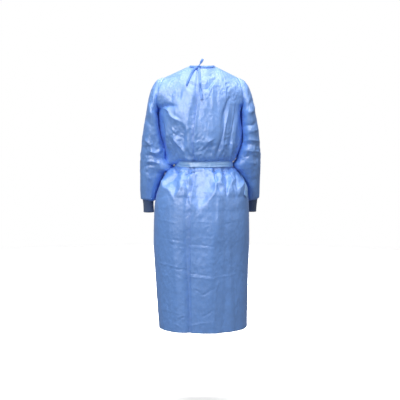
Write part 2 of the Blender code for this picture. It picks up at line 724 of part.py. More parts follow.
def make_binding(panels):
    """A tape over the neck edge, made from the panels' own points, moved out."""
    high, way_out, normals = neck_steps(panels)
    grid = np.stack([high + way_out * BINDING_WIDTH, high])
    inner = grid + normals * BINDING_LIFT
    outer = inner + normals * BINDING_WALL
    front_columns = range(BACK_CELLS + 2, BACK_CELLS + 2 + FRONT_CELLS)
    return loft("neck_binding", outer, inner, TAPE_BLUE, False, False, front_columns)


def make_belt(rows, lap_edge):
    """The belt follows the body's rows under it, moved out, all the way round."""
    belt_rows = np.array([ALONG[BELT_LOW], ALONG[BELT_MIDDLE], ALONG[BELT_HIGH]])
    edge = np.interp(belt_rows, rows, lap_edge)
    side = np.full_like(edge, NECK_ACROSS)
    ends = np.ones_like(edge)
    back_across = np.concatenate(
        [
            spread(-ends, -side, SIDE_CELLS)[:, :-1],
            spread(-side, edge, LEFT_BACK_CELLS)[:, :-1],
            spread(edge, side, BACK_CELLS)[:, :-1],
            spread(side, ends, SIDE_CELLS)[:, :-1],
        ],
        axis=1,
    )
    front_across = np.concatenate(
        [
            spread(ends, side, SIDE_CELLS)[:, :-1],
            spread(side, -side, FRONT_CELLS)[:, :-1],
            spread(-side, -ends, SIDE_CELLS)[:, :-1],
        ],
        axis=1,
    )
    back = grid_points(BACK, back_across, belt_rows)
    front = grid_points(FRONT, front_across, belt_rows)
    points = np.concatenate([back, front], axis=1)
    normals = grid_normals(points, 1, closed=True)
    normals[..., 2] = 0.0
    normals = unit(normals)
    inner = points + normals * TAPE_LIFT
    outer = inner + normals * BELT_WALL
    return loft("waist_belt", outer, inner, TAPE_BLUE, True, False)


def body_at(degrees, z):
    """The point of the body below the armpits at this turn and height, and its outward direction."""
    face, across = (BACK, degrees / 90) if degrees <= 90 else (FRONT, (180 - degrees) / 90)
    tries = np.linspace(0.0, ALONG[ARMPIT], 801)
    heights = plain_body(face, np.zeros_like(tries), tries)[:, 2]
    across, along = np.array([across]), np.array([np.interp(z, heights, tries)])
    return body(face, across, along)[0], facing(face, across, along)[0]


def back_at(x, z):
    """The point of the back that is seen at x and z, and its outward direction, found by small steps."""
    place = np.array([x / 0.2, np.interp(z, [-0.2, 0.0], [ALONG[ARMPIT], ALONG[-1]])])
    step = 1e-4
    for _ in range(30):
        around = np.array([place, place + [step, 0.0], place - [0.0, step]])
        points = body(BACK, around[:, 0], around[:, 1])[:, [0, 2]]
        slope = np.stack([(points[1] - points[0]) / step, (points[0] - points[2]) / step], axis=1)
        change = np.linalg.solve(slope, np.array([x, z]) - points[0])
        place = np.clip(place + np.clip(change, -0.05, 0.05), [-0.99, 0.0], [0.99, ALONG[-1] - step])
    across, along = place[:1], place[1:]
    return body(BACK, across, along)[0], facing(BACK, across, along)[0]


def tape(name, route, normals, width):
    """A flat tape along a route of points, its face towards the normals."""
    route, normals = np.array(route), np.array(normals)
    knots = np.linspace(0.0, 1.0, len(route))
    steps = np.linspace(0.0, 1.0, TAPE_STEPS)
    line = np.stack([smooth(knots, route[:, axis], steps) for axis in range(3)], axis=-1)
    up = unit(np.stack([smooth(knots, normals[:, axis], steps) for axis in range(3)], axis=-1))
    side = unit(np.cross(unit(np.gradient(line, axis=0)), up)) * width / 2
    inner = np.stack([line - side, line + side], axis=1)
    outer = inner + up[:, None] * TAPE_WALL
    return loft(name, outer, inner, TAPE_BLUE, False, False)


def make_neck_ties():
    for name, steps in NECK_TIES.items():
        found = [back_at(step.x, step.z) for step in steps]
        route = [point + normal * step.lift for (point, normal), step in zip(found, steps)]
        tape(name, route, [normal for _, normal in found], NECK_TAPE_WIDTH)


def make_belt_ends():
    for name, turns in BELT_ENDS.items():
        found = [body_at(turn.degrees, turn.z) for turn in turns]
        route = [point + normal * turn.lift for (point, normal), turn in zip(found, turns)]
        tape(name, route, [normal for _, normal in found], BELT_TAPE_WIDTH)


def make_knot(name, middle, radii, degrees=0.0):
    """A small rounded knot, wider than it is deep."""
    mesh = bmesh.new()
    bmesh.ops.create_uvsphere(mesh, u_segments=12, v_segments=8, radius=1.0)
    bmesh.ops.scale(mesh, vec=radii, verts=mesh.verts)
    turn = math.radians(degrees)
    for vertex in mesh.verts:
        x, y, z = vertex.co
        vertex.co = (
            middle[0] + x * math.cos(turn) - y * math.sin(turn),
            middle[1] + x * math.sin(turn) + y * math.cos(turn),
            middle[2] + z,
        )
    return finish(name, mesh, TAPE_BLUE)


def make_neck_loop():
    """A closed drop of tape: it leaves the knot, stands up over the neck edge and comes back."""
    turn = np.linspace(NECK_LOOP_START, 1 - NECK_LOOP_START, NECK_LOOP_STEPS) * math.tau
    reach = NECK_LOOP_LENGTH * np.sin(turn / 2)
    aside = NECK_LOOP_SPREAD * np.sin(turn) * np.sin(turn / 2)
    base = np.array([NECK_KNOT[0], NECK_KNOT[1], NECK_KNOT[2]])
    out = unit(np.array([NECK_LOOP_LEAN, 0.10, 1.0]))
    across = np.array([0.0, 1.0, 0.0])
    line = base + reach[:, None] * out + aside[:, None] * across
    run = unit(np.gradient(line, axis=0))
    wide = unit(np.cross(out, across))
    up = unit(np.cross(wide, run))
    half = wide * NECK_TAPE_WIDTH / 2
    inner = np.stack([line - half, line + half], axis=1)
    outer = inner + up[:, None] * TAPE_WALL
    return loft("neck_loop", outer, inner, TAPE_BLUE, False, False)


def main():
    global collection
    for old in list(bpy.data.objects):
        bpy.data.objects.remove(old, do_unlink=True)
    collection = bpy.data.collections.new("isolation_gown")
    bpy.context.scene.collection.children.link(collection)
    rows = row_lengths()
    lap_edge = lap_edge_across(rows)
    right, right_columns = back_right(rows, lap_edge)
    panels = {
        "front_panel": front_panel(rows),
        "back_right": right,
        "back_left": back_left(rows, lap_edge, right_columns),
    }
    sleeves = [sleeve(panels, side) for side in (RIGHT, LEFT)]
    pieces = list(panels.values()) + sleeves
    part_at_seams(pieces)
    for piece in pieces:
        make_cloth(piece)
    make_binding(panels)
    make_belt(rows, lap_edge)
    for side in (RIGHT, LEFT):
        make_cuff(side)
    make_knot("neck_knot", NECK_KNOT, NECK_KNOT_RADII)
    make_neck_loop()
    make_neck_ties()
    belt_point, belt_normal = body_at(BELT_KNOT_DEGREES, BODY[BELT_MIDDLE].z)
    stand_off = TAPE_LIFT + BELT_WALL + SEAM_GAP + BELT_KNOT_RADII[0]
    make_knot("belt_knot", belt_point + belt_normal * stand_off, BELT_KNOT_RADII, BELT_KNOT_DEGREES - 90)
    make_belt_ends()


main()
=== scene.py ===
"""Looks of a disposable isolation gown, tied behind the neck and belted, in its worn hollow form.

Metres, +Z up. The gown's back faces -Y, and its right side, as it is worn, is +X. Every piece of cloth is a
thin shell on the form of its solid, with its creases placed by the tables below. It stands for that solid.
"""

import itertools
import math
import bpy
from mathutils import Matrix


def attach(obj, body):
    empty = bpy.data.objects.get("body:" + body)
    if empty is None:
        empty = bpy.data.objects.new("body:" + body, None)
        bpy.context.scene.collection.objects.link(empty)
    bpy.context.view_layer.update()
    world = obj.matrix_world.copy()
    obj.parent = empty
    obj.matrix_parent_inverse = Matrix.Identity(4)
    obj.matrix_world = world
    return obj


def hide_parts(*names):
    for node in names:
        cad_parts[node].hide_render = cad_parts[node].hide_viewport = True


bl_info = {
    "name": "Isolation gown",
    "version": (1, 0, 0),
    "blender": (4, 5, 0),
    "location": "3D View > Sidebar > Gown",
    "description": "Dresses the packed isolation gown in thin creased cloth, tapes, rib cuffs and stitches",
    "category": "Object",
}

from collections import namedtuple

import bpy
import numpy as np
from bpy.props import FloatProperty, FloatVectorProperty, IntProperty, PointerProperty
from bpy.types import Operator, Panel, PropertyGroup

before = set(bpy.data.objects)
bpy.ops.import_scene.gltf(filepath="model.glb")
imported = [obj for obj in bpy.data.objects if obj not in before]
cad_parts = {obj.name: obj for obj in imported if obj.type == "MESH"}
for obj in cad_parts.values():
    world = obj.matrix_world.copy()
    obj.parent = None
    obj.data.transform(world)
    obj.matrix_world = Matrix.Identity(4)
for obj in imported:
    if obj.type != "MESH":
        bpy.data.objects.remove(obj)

RIGHT, LEFT = 1, -1
BACK, FRONT = -1, 1
SIDE_NAMES = {RIGHT: "right", LEFT: "left"}
TINY = 1e-4
EVEN = (1.0, 1.0, 1.0)

# The neck column's share of the way to the armhole, and how deep the left back lies under the right one
NECK_ACROSS = 0.42
LAP_DEPTH = 0.0056
# How far the left back runs on under the right one, as a share of the way to the side seam
LAP_ACROSS = 0.22


def table(kind, *rows):
    """A table with named columns."""
    return tuple(kind(*row) for row in rows)


# The body below the armpits: level rings from hem to armpit. The widths run out from the middle.
Section = namedtuple("Section", "z left right back front square")
BODY = table(
    Section,
    (-1.150, 0.187, 0.205, 0.150, 0.150, 2.30),
    (-1.034, 0.195, 0.207, 0.153, 0.150, 2.30),
    (-0.902, 0.203, 0.209, 0.158, 0.150, 2.30),
    (-0.766, 0.209, 0.213, 0.163, 0.149, 2.30),
    (-0.620, 0.205, 0.211, 0.167, 0.147, 2.30),
    (-0.563, 0.196, 0.207, 0.162, 0.143, 2.25),
    (-0.519, 0.181, 0.196, 0.151, 0.138, 2.20),
    (-0.471, 0.159, 0.171, 0.135, 0.127, 2.15),
    (-0.448, 0.143, 0.152, 0.122, 0.117, 2.10),
    (-0.437, 0.115, 0.138, 0.104, 0.103, 2.10),
    (-0.425, 0.110, 0.135, 0.100, 0.100, 2.10),
    (-0.413, 0.113, 0.136, 0.103, 0.102, 2.10),
    (-0.402, 0.132, 0.145, 0.114, 0.110, 2.15),
    (-0.374, 0.149, 0.160, 0.125, 0.118, 2.20),
    (-0.330, 0.166, 0.175, 0.132, 0.122, 2.30),
    (-0.277, 0.180, 0.180, 0.134, 0.120, 2.40),
    (-0.200, 0.186, 0.176, 0.130, 0.113, 2.50),
)
BELT_LOW, BELT_MIDDLE, BELT_HIGH = 9, 10, 11
ARMPIT = len(BODY) - 1

# The body above the armpits: rows from one armhole edge over the neck column to the middle
Upper = namedtuple("Upper", "left right edge_y edge_z neck_x neck_y neck_z shift middle_y middle_z")
UPPER = {
    BACK: table(
        Upper,
        (0.187, 0.180, -0.050, -0.164, 0.108, -0.110, -0.156, 0.000, -0.126, -0.152),
        (0.180, 0.175, -0.058, -0.120, 0.094, -0.101, -0.106, 0.001, -0.115, -0.102),
        (0.168, 0.167, -0.040, -0.074, 0.074, -0.062, -0.036, 0.003, -0.086, -0.044),
        (0.157, 0.158, 0.004, -0.048, 0.050, -0.012, 0.002, 0.005, -0.060, -0.003),
    ),
    FRONT: table(
        Upper,
        (0.187, 0.180, 0.050, -0.164, 0.108, 0.100, -0.160, 0.000, 0.114, -0.162),
        (0.177, 0.172, 0.058, -0.120, 0.094, 0.088, -0.116, 0.001, 0.104, -0.124),
        (0.166, 0.165, 0.044, -0.074, 0.074, 0.046, -0.044, 0.003, 0.086, -0.084),
        (0.157, 0.158, 0.004, -0.048, 0.050, -0.012, 0.002, 0.005, 0.070, -0.050),
    ),
}

# The right back's free edge, which runs left of the middle
LapEdge = namedtuple("LapEdge", "z x")
LAP_EDGE = table(
    LapEdge,
    (-1.150, -0.042), (-0.800, -0.045), (-0.585, -0.045), (-0.425, -0.025), (-0.330, -0.032),
    (-0.240, -0.026), (-0.150, -0.015), (0.000, -0.009),
)

# The large folds, as lines seen from behind or from the front. A minus height is a valley.
# start is the share of the height at the first end. sharp runs from 0, a soft roll, to 1, a crisp crease.
Fold = namedtuple("Fold", "x0 z0 x1 z1 width height start sharp")
FOLDS = {
    BACK: table(
        Fold,
        # Darts under the belt, and the valleys that fan out from them
        (-0.104, -0.434, -0.146, -0.530, 0.010, -0.011, 1.0, 0.4),
        (-0.046, -0.434, -0.066, -0.470, 0.008, -0.013, 1.0, 0.6),
        (-0.058, -0.452, -0.066, -0.610, 0.012, -0.011, 0.8, 0.5),
        (0.051, -0.434, 0.088, -0.560, 0.011, -0.013, 1.0, 0.5),
        (0.096, -0.434, 0.124, -0.540, 0.011, -0.012, 1.0, 0.5),
        (0.122, -0.440, 0.160, -0.600, 0.010, -0.009, 1.0, 0.6),
        (-0.108, -0.436, -0.114, -0.458, 0.006, -0.0090, 1.0, 0.5),
        (-0.050, -0.436, -0.054, -0.456, 0.006, -0.0090, 1.0, 0.5),
        (0.053, -0.436, 0.058, -0.460, 0.006, -0.0090, 1.0, 0.5),
        (0.100, -0.438, 0.108, -0.466, 0.006, -0.0090, 1.0, 0.5),
        # Pulls and slack cloth above the belt
        (-0.186, -0.184, -0.108, -0.170, 0.010, -0.0130, 0.9, 0.7),
        (-0.182, -0.182, -0.128, -0.198, 0.007, 0.0070, 0.6, 0.7),
        (-0.140, -0.196, -0.090, -0.250, 0.009, 0.0090, 0.5, 0.7),
        (-0.104, -0.104, -0.088, -0.150, 0.007, -0.0030, 0.3, 0.7),
        (-0.104, -0.226, -0.064, -0.404, 0.022, -0.012, 0.2, 0.2),
        (-0.130, -0.288, -0.060, -0.410, 0.010, 0.009, 0.1, 0.6),
        (-0.182, -0.190, -0.150, -0.390, 0.011, -0.009, 0.3, 0.6),
        (-0.158, -0.230, -0.128, -0.396, 0.010, 0.006, 0.0, 0.4),
        (0.132, -0.110, 0.080, -0.290, 0.012, -0.0080, 0.2, 0.4),
        (0.104, -0.200, 0.070, -0.424, 0.014, -0.0120, 0.2, 0.6),
        (0.120, -0.150, 0.094, -0.404, 0.009, 0.0080, 0.1, 0.7),
        (0.156, -0.150, 0.112, -0.414, 0.011, -0.0135, 0.2, 0.6),
        (0.150, -0.130, 0.128, -0.300, 0.007, 0.0070, 0.2, 0.8),
        (0.150, -0.240, 0.120, -0.414, 0.007, 0.0070, 0.1, 0.7),
        (0.176, -0.133, 0.158, -0.368, 0.009, -0.0090, 0.3, 0.5),
        (0.100, -0.070, 0.104, -0.190, 0.008, 0.0030, 0.2, 0.6),
        (0.072, -0.090, 0.066, -0.220, 0.009, -0.0026, 0.2, 0.6),
        (0.048, -0.110, 0.052, -0.200, 0.007, 0.0024, 0.3, 0.6),
        (0.056, -0.308, 0.010, -0.362, 0.010, 0.006, 0.2, 0.5),
        (0.062, -0.330, 0.040, -0.398, 0.020, -0.008, 0.0, 0.2),
        (-0.030, -0.404, -0.086, -0.392, 0.007, 0.005, 0.5, 0.6),
        (-0.036, -0.392, -0.070, -0.360, 0.010, -0.006, 0.5, 0.4),
        # Pulls that run to the neck tie
        (0.078, -0.050, 0.008, -0.118, 0.009, -0.0060, 0.3, 0.4),
        (0.070, -0.068, 0.024, -0.120, 0.007, 0.0042, 0.3, 0.5),
        (0.052, -0.040, 0.016, -0.052, 0.007, -0.0028, 0.4, 0.5),
        (-0.058, -0.062, -0.010, -0.108, 0.010, -0.0036, 0.2, 0.3),
        (-0.074, -0.070, -0.030, -0.150, 0.009, 0.0030, 0.2, 0.4),
        (-0.098, -0.086, -0.078, -0.160, 0.011, -0.0042, 0.2, 0.3),
        (-0.006, -0.095, -0.014, -0.250, 0.016, -0.0030, 0.8, 0.2),
        # Long soft folds down the skirt
        (0.074, -0.560, 0.072, -0.860, 0.010, 0.0040, 0.6, 0.3),
        (-0.118, -0.620, -0.108, -1.300, 0.030, 0.0060, 0.2, 0.0),
        (0.150, -0.640, 0.146, -1.300, 0.026, -0.0060, 0.2, 0.1),
        (-0.058, -0.620, -0.060, -1.300, 0.020, -0.0095, 0.4, 0.3),
        (0.062, -0.580, 0.060, -1.350, 0.040, 0.0125, 0.5, 0.2),
        (0.104, -0.700, 0.100, -1.300, 0.014, -0.0030, 0.2, 0.2),
    ),
    FRONT: table(
        Fold,
        (-0.098, -0.434, -0.124, -0.560, 0.012, -0.011, 1.0, 0.5),
        (-0.036, -0.434, -0.048, -0.620, 0.013, -0.013, 1.0, 0.4),
        (0.030, -0.434, 0.052, -0.590, 0.012, -0.012, 1.0, 0.5),
        (0.096, -0.434, 0.128, -0.570, 0.012, -0.010, 1.0, 0.4),
        (-0.072, -0.460, -0.090, -0.640, 0.022, 0.007, 0.2, 0.1),
        (0.004, -0.460, 0.000, -0.660, 0.026, 0.007, 0.2, 0.1),
        (0.074, -0.460, 0.092, -0.620, 0.020, 0.007, 0.2, 0.1),
        (-0.148, -0.180, -0.070, -0.404, 0.014, -0.010, 0.0, 0.4),
        (-0.120, -0.170, -0.040, -0.396, 0.014, 0.007, 0.0, 0.3),
        (0.150, -0.190, 0.062, -0.404, 0.014, -0.010, 0.0, 0.4),
        (0.112, -0.180, 0.030, -0.392, 0.014, 0.007, 0.0, 0.3),
        (-0.002, -0.240, 0.004, -0.408, 0.018, -0.008, 0.0, 0.3),
        (-0.052, -0.082, -0.118, -0.190, 0.013, -0.0045, 0.3, 0.3),
        (0.056, -0.080, 0.126, -0.200, 0.013, -0.0045, 0.3, 0.3),
        (-0.006, -0.130, 0.002, -0.240, 0.020, -0.0040, 0.3, 0.2),
        (-0.120, -0.640, -0.110, -1.080, 0.034, 0.0060, 0.0, 0.0),
        (-0.040, -0.700, -0.036, -1.140, 0.028, -0.0060, 0.0, 0.1),
        (0.062, -0.600, 0.060, -0.980, 0.034, 0.0060, 0.0, 0.0),
        (0.140, -0.680, 0.136, -1.120, 0.028, -0.0060, 0.0, 0.1),
    ),
}

# Creases that the cloth keeps from being packed flat, and the small crumples near them
CREASES = {
    BACK: table(
        Fold,
        (-0.040, -0.666, 0.062, -0.667, 0.0029, 0.0014, 0.8, 0.9),
        (0.070, -0.676, 0.150, -0.670, 0.0036, -0.0012, 0.5, 0.8),
        (-0.046, -0.762, 0.066, -0.772, 0.0032, -0.0020, 0.8, 0.9),
        (-0.046, -0.774, 0.052, -0.781, 0.0025, 0.0012, 0.8, 0.9),
        (-0.042, -0.888, 0.060, -0.902, 0.0036, -0.0024, 0.8, 0.8),
        (-0.042, -0.902, 0.056, -0.914, 0.0029, 0.0018, 0.8, 0.9),
        (0.058, -0.906, 0.160, -0.896, 0.0032, 0.0016, 0.6, 0.9),
        (-0.030, -0.956, 0.012, -0.978, 0.0043, -0.0018, 0.3, 0.6),
        (0.008, -0.978, 0.058, -0.952, 0.0043, -0.0020, 0.8, 0.6),
        (0.070, -0.930, 0.054, -1.030, 0.0043, 0.0022, 0.8, 0.7),
        (-0.006, -1.082, 0.058, -1.040, 0.0036, -0.0016, 0.6, 0.8),
        (-0.038, -1.114, 0.070, -1.094, 0.0043, 0.0014, 0.6, 0.8),
        (-0.178, -0.854, -0.054, -0.868, 0.0029, 0.0016, 0.6, 0.9),
        (-0.128, -0.866, -0.056, -0.876, 0.0029, -0.0014, 0.6, 0.9),
        (-0.160, -0.744, -0.060, -0.748, 0.0032, -0.0014, 0.5, 0.9),
        (-0.122, -0.780, -0.056, -0.784, 0.0029, 0.0016, 0.8, 0.9),
        (-0.170, -0.664, -0.090, -0.672, 0.0036, 0.0012, 0.5, 0.8),
        (-0.168, -1.060, -0.060, -1.068, 0.0032, 0.0013, 0.6, 0.9),
        (-0.130, -0.640, -0.132, -0.860, 0.0029, 0.0010, 0.5, 0.9),
        (-0.140, -0.870, -0.144, -1.120, 0.0029, -0.0010, 0.5, 0.9),
        (0.154, -0.900, 0.158, -1.130, 0.0029, 0.0012, 0.5, 0.9),
        (-0.096, -1.084, -0.062, -1.066, 0.0043, 0.0024, 0.5, 0.8),
        (-0.090, -1.100, -0.070, -1.060, 0.0036, -0.0020, 0.5, 0.8),
        (-0.112, -1.112, -0.084, -1.124, 0.0036, 0.0018, 0.5, 0.8),
        (0.070, -0.822, 0.094, -0.868, 0.0043, 0.0018, 0.4, 0.7),
        (0.086, -0.810, 0.060, -0.850, 0.0036, -0.0014, 0.4, 0.7),
        # On the slope below the belt
        (-0.070, -0.486, -0.036, -0.480, 0.0029, 0.0022, 0.6, 0.8),
        (-0.066, -0.506, -0.030, -0.512, 0.0029, -0.0018, 0.6, 0.8),
        (0.016, -0.470, 0.046, -0.520, 0.0036, -0.0020, 0.6, 0.7),
        (0.000, -0.530, 0.040, -0.548, 0.0036, 0.0022, 0.5, 0.7),
        (0.074, -0.470, 0.094, -0.520, 0.0029, 0.0022, 0.6, 0.7),
        (-0.150, -0.480, -0.112, -0.536, 0.0036, 0.0024, 0.6, 0.7),
        (-0.100, -0.456, -0.090, -0.530, 0.0036, -0.0018, 0.6, 0.6),
        # Across the shoulders and the back
        (-0.070, -0.150, -0.030, -0.210, 0.0036, 0.0016, 0.4, 0.7),
        (0.028, -0.214, 0.074, -0.216, 0.0029, 0.0010, 0.5, 0.9),
        (0.010, -0.236, 0.050, -0.280, 0.0036, -0.0012, 0.4, 0.8),
        (-0.160, -0.086, -0.120, -0.150, 0.0036, -0.0016, 0.4, 0.6),
        (0.134, -0.090, 0.142, -0.180, 0.0036, 0.0016, 0.4, 0.6),
        (-0.096, -0.250, -0.120, -0.330, 0.0036, 0.0018, 0.4, 0.7),
        (-0.150, -0.300, -0.096, -0.390, 0.0036, -0.0016, 0.4, 0.7),
    ),
    FRONT: table(
        Fold,
        (-0.170, -0.666, -0.010, -0.670, 0.0032, 0.0014, 0.6, 0.9),
        (0.012, -0.672, 0.160, -0.664, 0.0032, -0.0014, 0.6, 0.9),
        (-0.160, -0.778, 0.020, -0.770, 0.0029, -0.0014, 0.6, 0.9),
        (0.000, -0.784, 0.170, -0.790, 0.0032, 0.0014, 0.6, 0.9),
        (-0.170, -0.896, 0.004, -0.904, 0.0032, 0.0016, 0.6, 0.9),
        (0.010, -0.898, 0.160, -0.902, 0.0032, -0.0018, 0.6, 0.9),
        (-0.120, -1.024, 0.080, -1.016, 0.0032, 0.0014, 0.6, 0.9),
        (-0.002, -0.600, 0.002, -1.130, 0.0029, 0.0014, 0.6, 0.9),
        (0.110, -0.940, 0.070, -1.010, 0.0043, -0.0018, 0.5, 0.7),
        (-0.096, -0.820, -0.060, -0.872, 0.0043, 0.0018, 0.5, 0.7),
        (-0.060, -0.470, -0.030, -0.520, 0.0036, 0.0022, 0.5, 0.7),
        (0.052, -0.480, 0.080, -0.540, 0.0036, -0.0020, 0.5, 0.7),
        (-0.004, -0.150, -0.002, -0.390, 0.0029, 0.0010, 0.6, 0.9),
        (-0.090, -0.210, -0.020, -0.216, 0.0029, -0.0010, 0.6, 0.9),
        (0.020, -0.220, 0.100, -0.212, 0.0029, 0.0010, 0.6, 0.9),
    ),
}

# Where the slope below the belt turns into the hanging skirt: the lobes that the belt's gathers make
Lobe = namedtuple("Lobe", "x z")
LOBES = {
    BACK: table(
        Lobe,
        (-0.205, -0.500), (-0.174, -0.498), (-0.158, -0.506), (-0.136, -0.540), (-0.111, -0.566),
        (-0.096, -0.544), (-0.080, -0.524), (-0.059, -0.552), (-0.040, -0.590), (-0.013, -0.634),
        (0.008, -0.618), (0.028, -0.588), (0.054, -0.542), (0.070, -0.502), (0.085, -0.508),
        (0.097, -0.540), (0.105, -0.572), (0.118, -0.526), (0.130, -0.496), (0.141, -0.520),
        (0.153, -0.552), (0.166, -0.520), (0.180, -0.498), (0.205, -0.500),
    ),
    FRONT: table(
        Lobe,
        (-0.205, -0.500), (-0.150, -0.510), (-0.122, -0.560), (-0.098, -0.520), (-0.070, -0.575),
        (-0.044, -0.530), (0.002, -0.600), (0.042, -0.530), (0.074, -0.570), (0.104, -0.520),
        (0.130, -0.555), (0.160, -0.505), (0.205, -0.500),
    ),
}
LOBE_TOP = -0.440
LOBE_DEPTH = {BACK: 0.1705, FRONT: 0.1500}

# The sleeves: rings from just outside the armhole to the wrist. out is the ring's outer point, in its inner.
Ring = namedtuple("Ring", "out_x out_z in_x in_z y half")
SLEEVES = {
    RIGHT: table(
        Ring,
        (0.185, -0.061, 0.1820, -0.207, 0.000, 0.076),
        (0.209, -0.092, 0.1840, -0.220, 0.000, 0.084),
        (0.227, -0.147, 0.1850, -0.242, 0.000, 0.087),
        (0.239, -0.205, 0.1850, -0.270, 0.001, 0.085),
        (0.250, -0.263, 0.1850, -0.302, 0.002, 0.080),
        (0.257, -0.320, 0.1785, -0.336, 0.006, 0.074),
        (0.261, -0.375, 0.1640, -0.378, 0.010, 0.068),
        (0.263, -0.422, 0.1520, -0.418, 0.018, 0.063),
        (0.263, -0.470, 0.1755, -0.466, 0.034, 0.056),
        (0.262, -0.520, 0.1960, -0.520, 0.054, 0.048),
        (0.262, -0.560, 0.202, -0.566, 0.068, 0.042),
        (0.261, -0.580, 0.204, -0.590, 0.076, 0.039),
        (0.254, -0.587, 0.209, -0.595, 0.080, 0.031),
    ),
    LEFT: table(
        Ring,
        (0.186, -0.057, 0.1915, -0.207, 0.000, 0.076),
        (0.212, -0.090, 0.1930, -0.220, 0.000, 0.084),
        (0.228, -0.138, 0.1915, -0.242, 0.000, 0.087),
        (0.236, -0.192, 0.1880, -0.268, 0.001, 0.085),
        (0.248, -0.246, 0.1820, -0.300, 0.002, 0.080),
        (0.257, -0.306, 0.1700, -0.336, 0.004, 0.074),
        (0.263, -0.361, 0.1545, -0.376, 0.008, 0.068),
        (0.268, -0.415, 0.1480, -0.414, 0.014, 0.063),
        (0.270, -0.465, 0.1680, -0.464, 0.024, 0.058),
        (0.270, -0.520, 0.195, -0.520, 0.032, 0.052),
        (0.269, -0.562, 0.204, -0.565, 0.040, 0.046),
        (0.268, -0.582, 0.207, -0.586, 0.044, 0.043),
        (0.260, -0.588, 0.212, -0.591, 0.046, 0.032),
    ),
}
SLEEVE_FOLDS = {
    RIGHT: table(
        Fold,
        (0.236, -0.166, 0.200, -0.216, 0.011, 0.0060, 0.2, 0.4),
        (0.224, -0.150, 0.188, -0.186, 0.009, -0.0050, 0.4, 0.5),
        (0.212, -0.110, 0.184, -0.250, 0.011, -0.0045, 0.3, 0.4),
        (0.244, -0.236, 0.186, -0.268, 0.010, -0.0060, 0.3, 0.5),
        (0.256, -0.262, 0.190, -0.306, 0.009, 0.0045, 0.3, 0.5),
        (0.256, -0.318, 0.188, -0.330, 0.009, 0.0065, 0.4, 0.6),
        (0.262, -0.342, 0.176, -0.352, 0.010, -0.0070, 0.3, 0.5),
        (0.262, -0.366, 0.180, -0.376, 0.009, 0.0060, 0.3, 0.6),
        (0.262, -0.398, 0.182, -0.392, 0.010, -0.0055, 0.3, 0.5),
        (0.264, -0.428, 0.190, -0.418, 0.010, 0.0035, 0.3, 0.5),
        (0.258, -0.470, 0.206, -0.520, 0.012, -0.0040, 0.2, 0.4),
        (0.214, -0.470, 0.222, -0.574, 0.010, 0.0030, 0.2, 0.4),
    ),
    LEFT: table(
        Fold,
        (-0.236, -0.160, -0.198, -0.214, 0.011, 0.0055, 0.2, 0.4),
        (-0.216, -0.118, -0.190, -0.240, 0.011, -0.0045, 0.3, 0.4),
        (-0.246, -0.232, -0.196, -0.290, 0.011, -0.0050, 0.3, 0.4),
        (-0.252, -0.300, -0.196, -0.402, 0.009, 0.0065, 0.3, 0.6),
        (-0.228, -0.300, -0.188, -0.350, 0.009, -0.0040, 0.3, 0.5),
        (-0.256, -0.350, -0.176, -0.362, 0.010, -0.0050, 0.1, 0.5),
        (-0.218, -0.374, -0.170, -0.368, 0.008, 0.0070, 0.8, 0.6),
        (-0.236, -0.394, -0.176, -0.392, 0.009, -0.0075, 0.6, 0.5),
        (-0.232, -0.416, -0.172, -0.408, 0.009, 0.0080, 0.7, 0.6),
        (-0.262, -0.436, -0.176, -0.430, 0.010, -0.0060, 0.3, 0.5),
        (-0.258, -0.452, -0.206, -0.520, 0.012, 0.0035, 0.2, 0.4),
        (-0.226, -0.480, -0.232, -0.574, 0.010, -0.0030, 0.2, 0.4),
    ),
}

# How far the sleeve's inner side leans towards the waist, by height
Slack = namedtuple("Slack", "z lean")
SLEEVE_SLACK = {
    RIGHT: table(
        Slack,
        (-0.620, 0.0000), (-0.520, 0.0000), (-0.466, 0.0070), (-0.448, 0.0120), (-0.437, 0.0160),
        (-0.425, 0.0150), (-0.412, 0.0045), (-0.402, 0.0005), (-0.388, 0.0030), (-0.330, 0.0020),
        (-0.280, 0.0060), (-0.240, 0.0088), (-0.215, 0.0088), (-0.160, 0.0000),
    ),
    LEFT: table(
        Slack,
        (-0.620, 0.0000), (-0.565, 0.0060), (-0.520, 0.0105), (-0.490, 0.0110), (-0.465, 0.0095),
        (-0.450, 0.0180), (-0.441, 0.0300), (-0.430, 0.0335), (-0.422, 0.0270), (-0.412, 0.0090),
        (-0.402, 0.0000), (-0.376, 0.0030), (-0.330, 0.0060), (-0.280, 0.0075), (-0.240, 0.0080),
        (-0.215, 0.0070), (-0.160, 0.0000),
    ),
}

# The cuffs: rings from the wrist seam down
CuffRing = namedtuple("CuffRing", "down x y half_x half_y")
CUFFS = {
    RIGHT: table(
        CuffRing,
        (0.000, 0.2315, 0.0800, 0.0222, 0.0305),
        (0.020, 0.2300, 0.0880, 0.0220, 0.0285),
        (0.055, 0.2270, 0.1020, 0.0225, 0.0275),
    ),
    LEFT: table(
        CuffRing,
        (0.000, 0.2360, 0.0460, 0.0237, 0.0315),
        (0.020, 0.2350, 0.0500, 0.0228, 0.0295),
        (0.055, 0.2335, 0.0570, 0.0232, 0.0285),
    ),
}

# Free ends of the neck tie: x and z as seen from behind, and how far the tape stands off the back
Step = namedtuple("Step", "x z lift")
NECK_TIES = {
    "neck_tie_left": table(
        Step,
        (-0.0160, -0.0070, 0.0040), (-0.0300, -0.0240, 0.0020), (-0.0420, -0.0430, 0.0014),
        (-0.0530, -0.0660, 0.0014), (-0.0615, -0.0900, 0.0018),
    ),
    "neck_tie_down": table(
        Step,
        (-0.0085, -0.0120, 0.0040), (-0.0065, -0.0400, 0.0018), (-0.0045, -0.0720, 0.0014),
        (-0.0010, -0.1050, 0.0014), (0.0030, -0.1500, 0.0018),
    ),
}
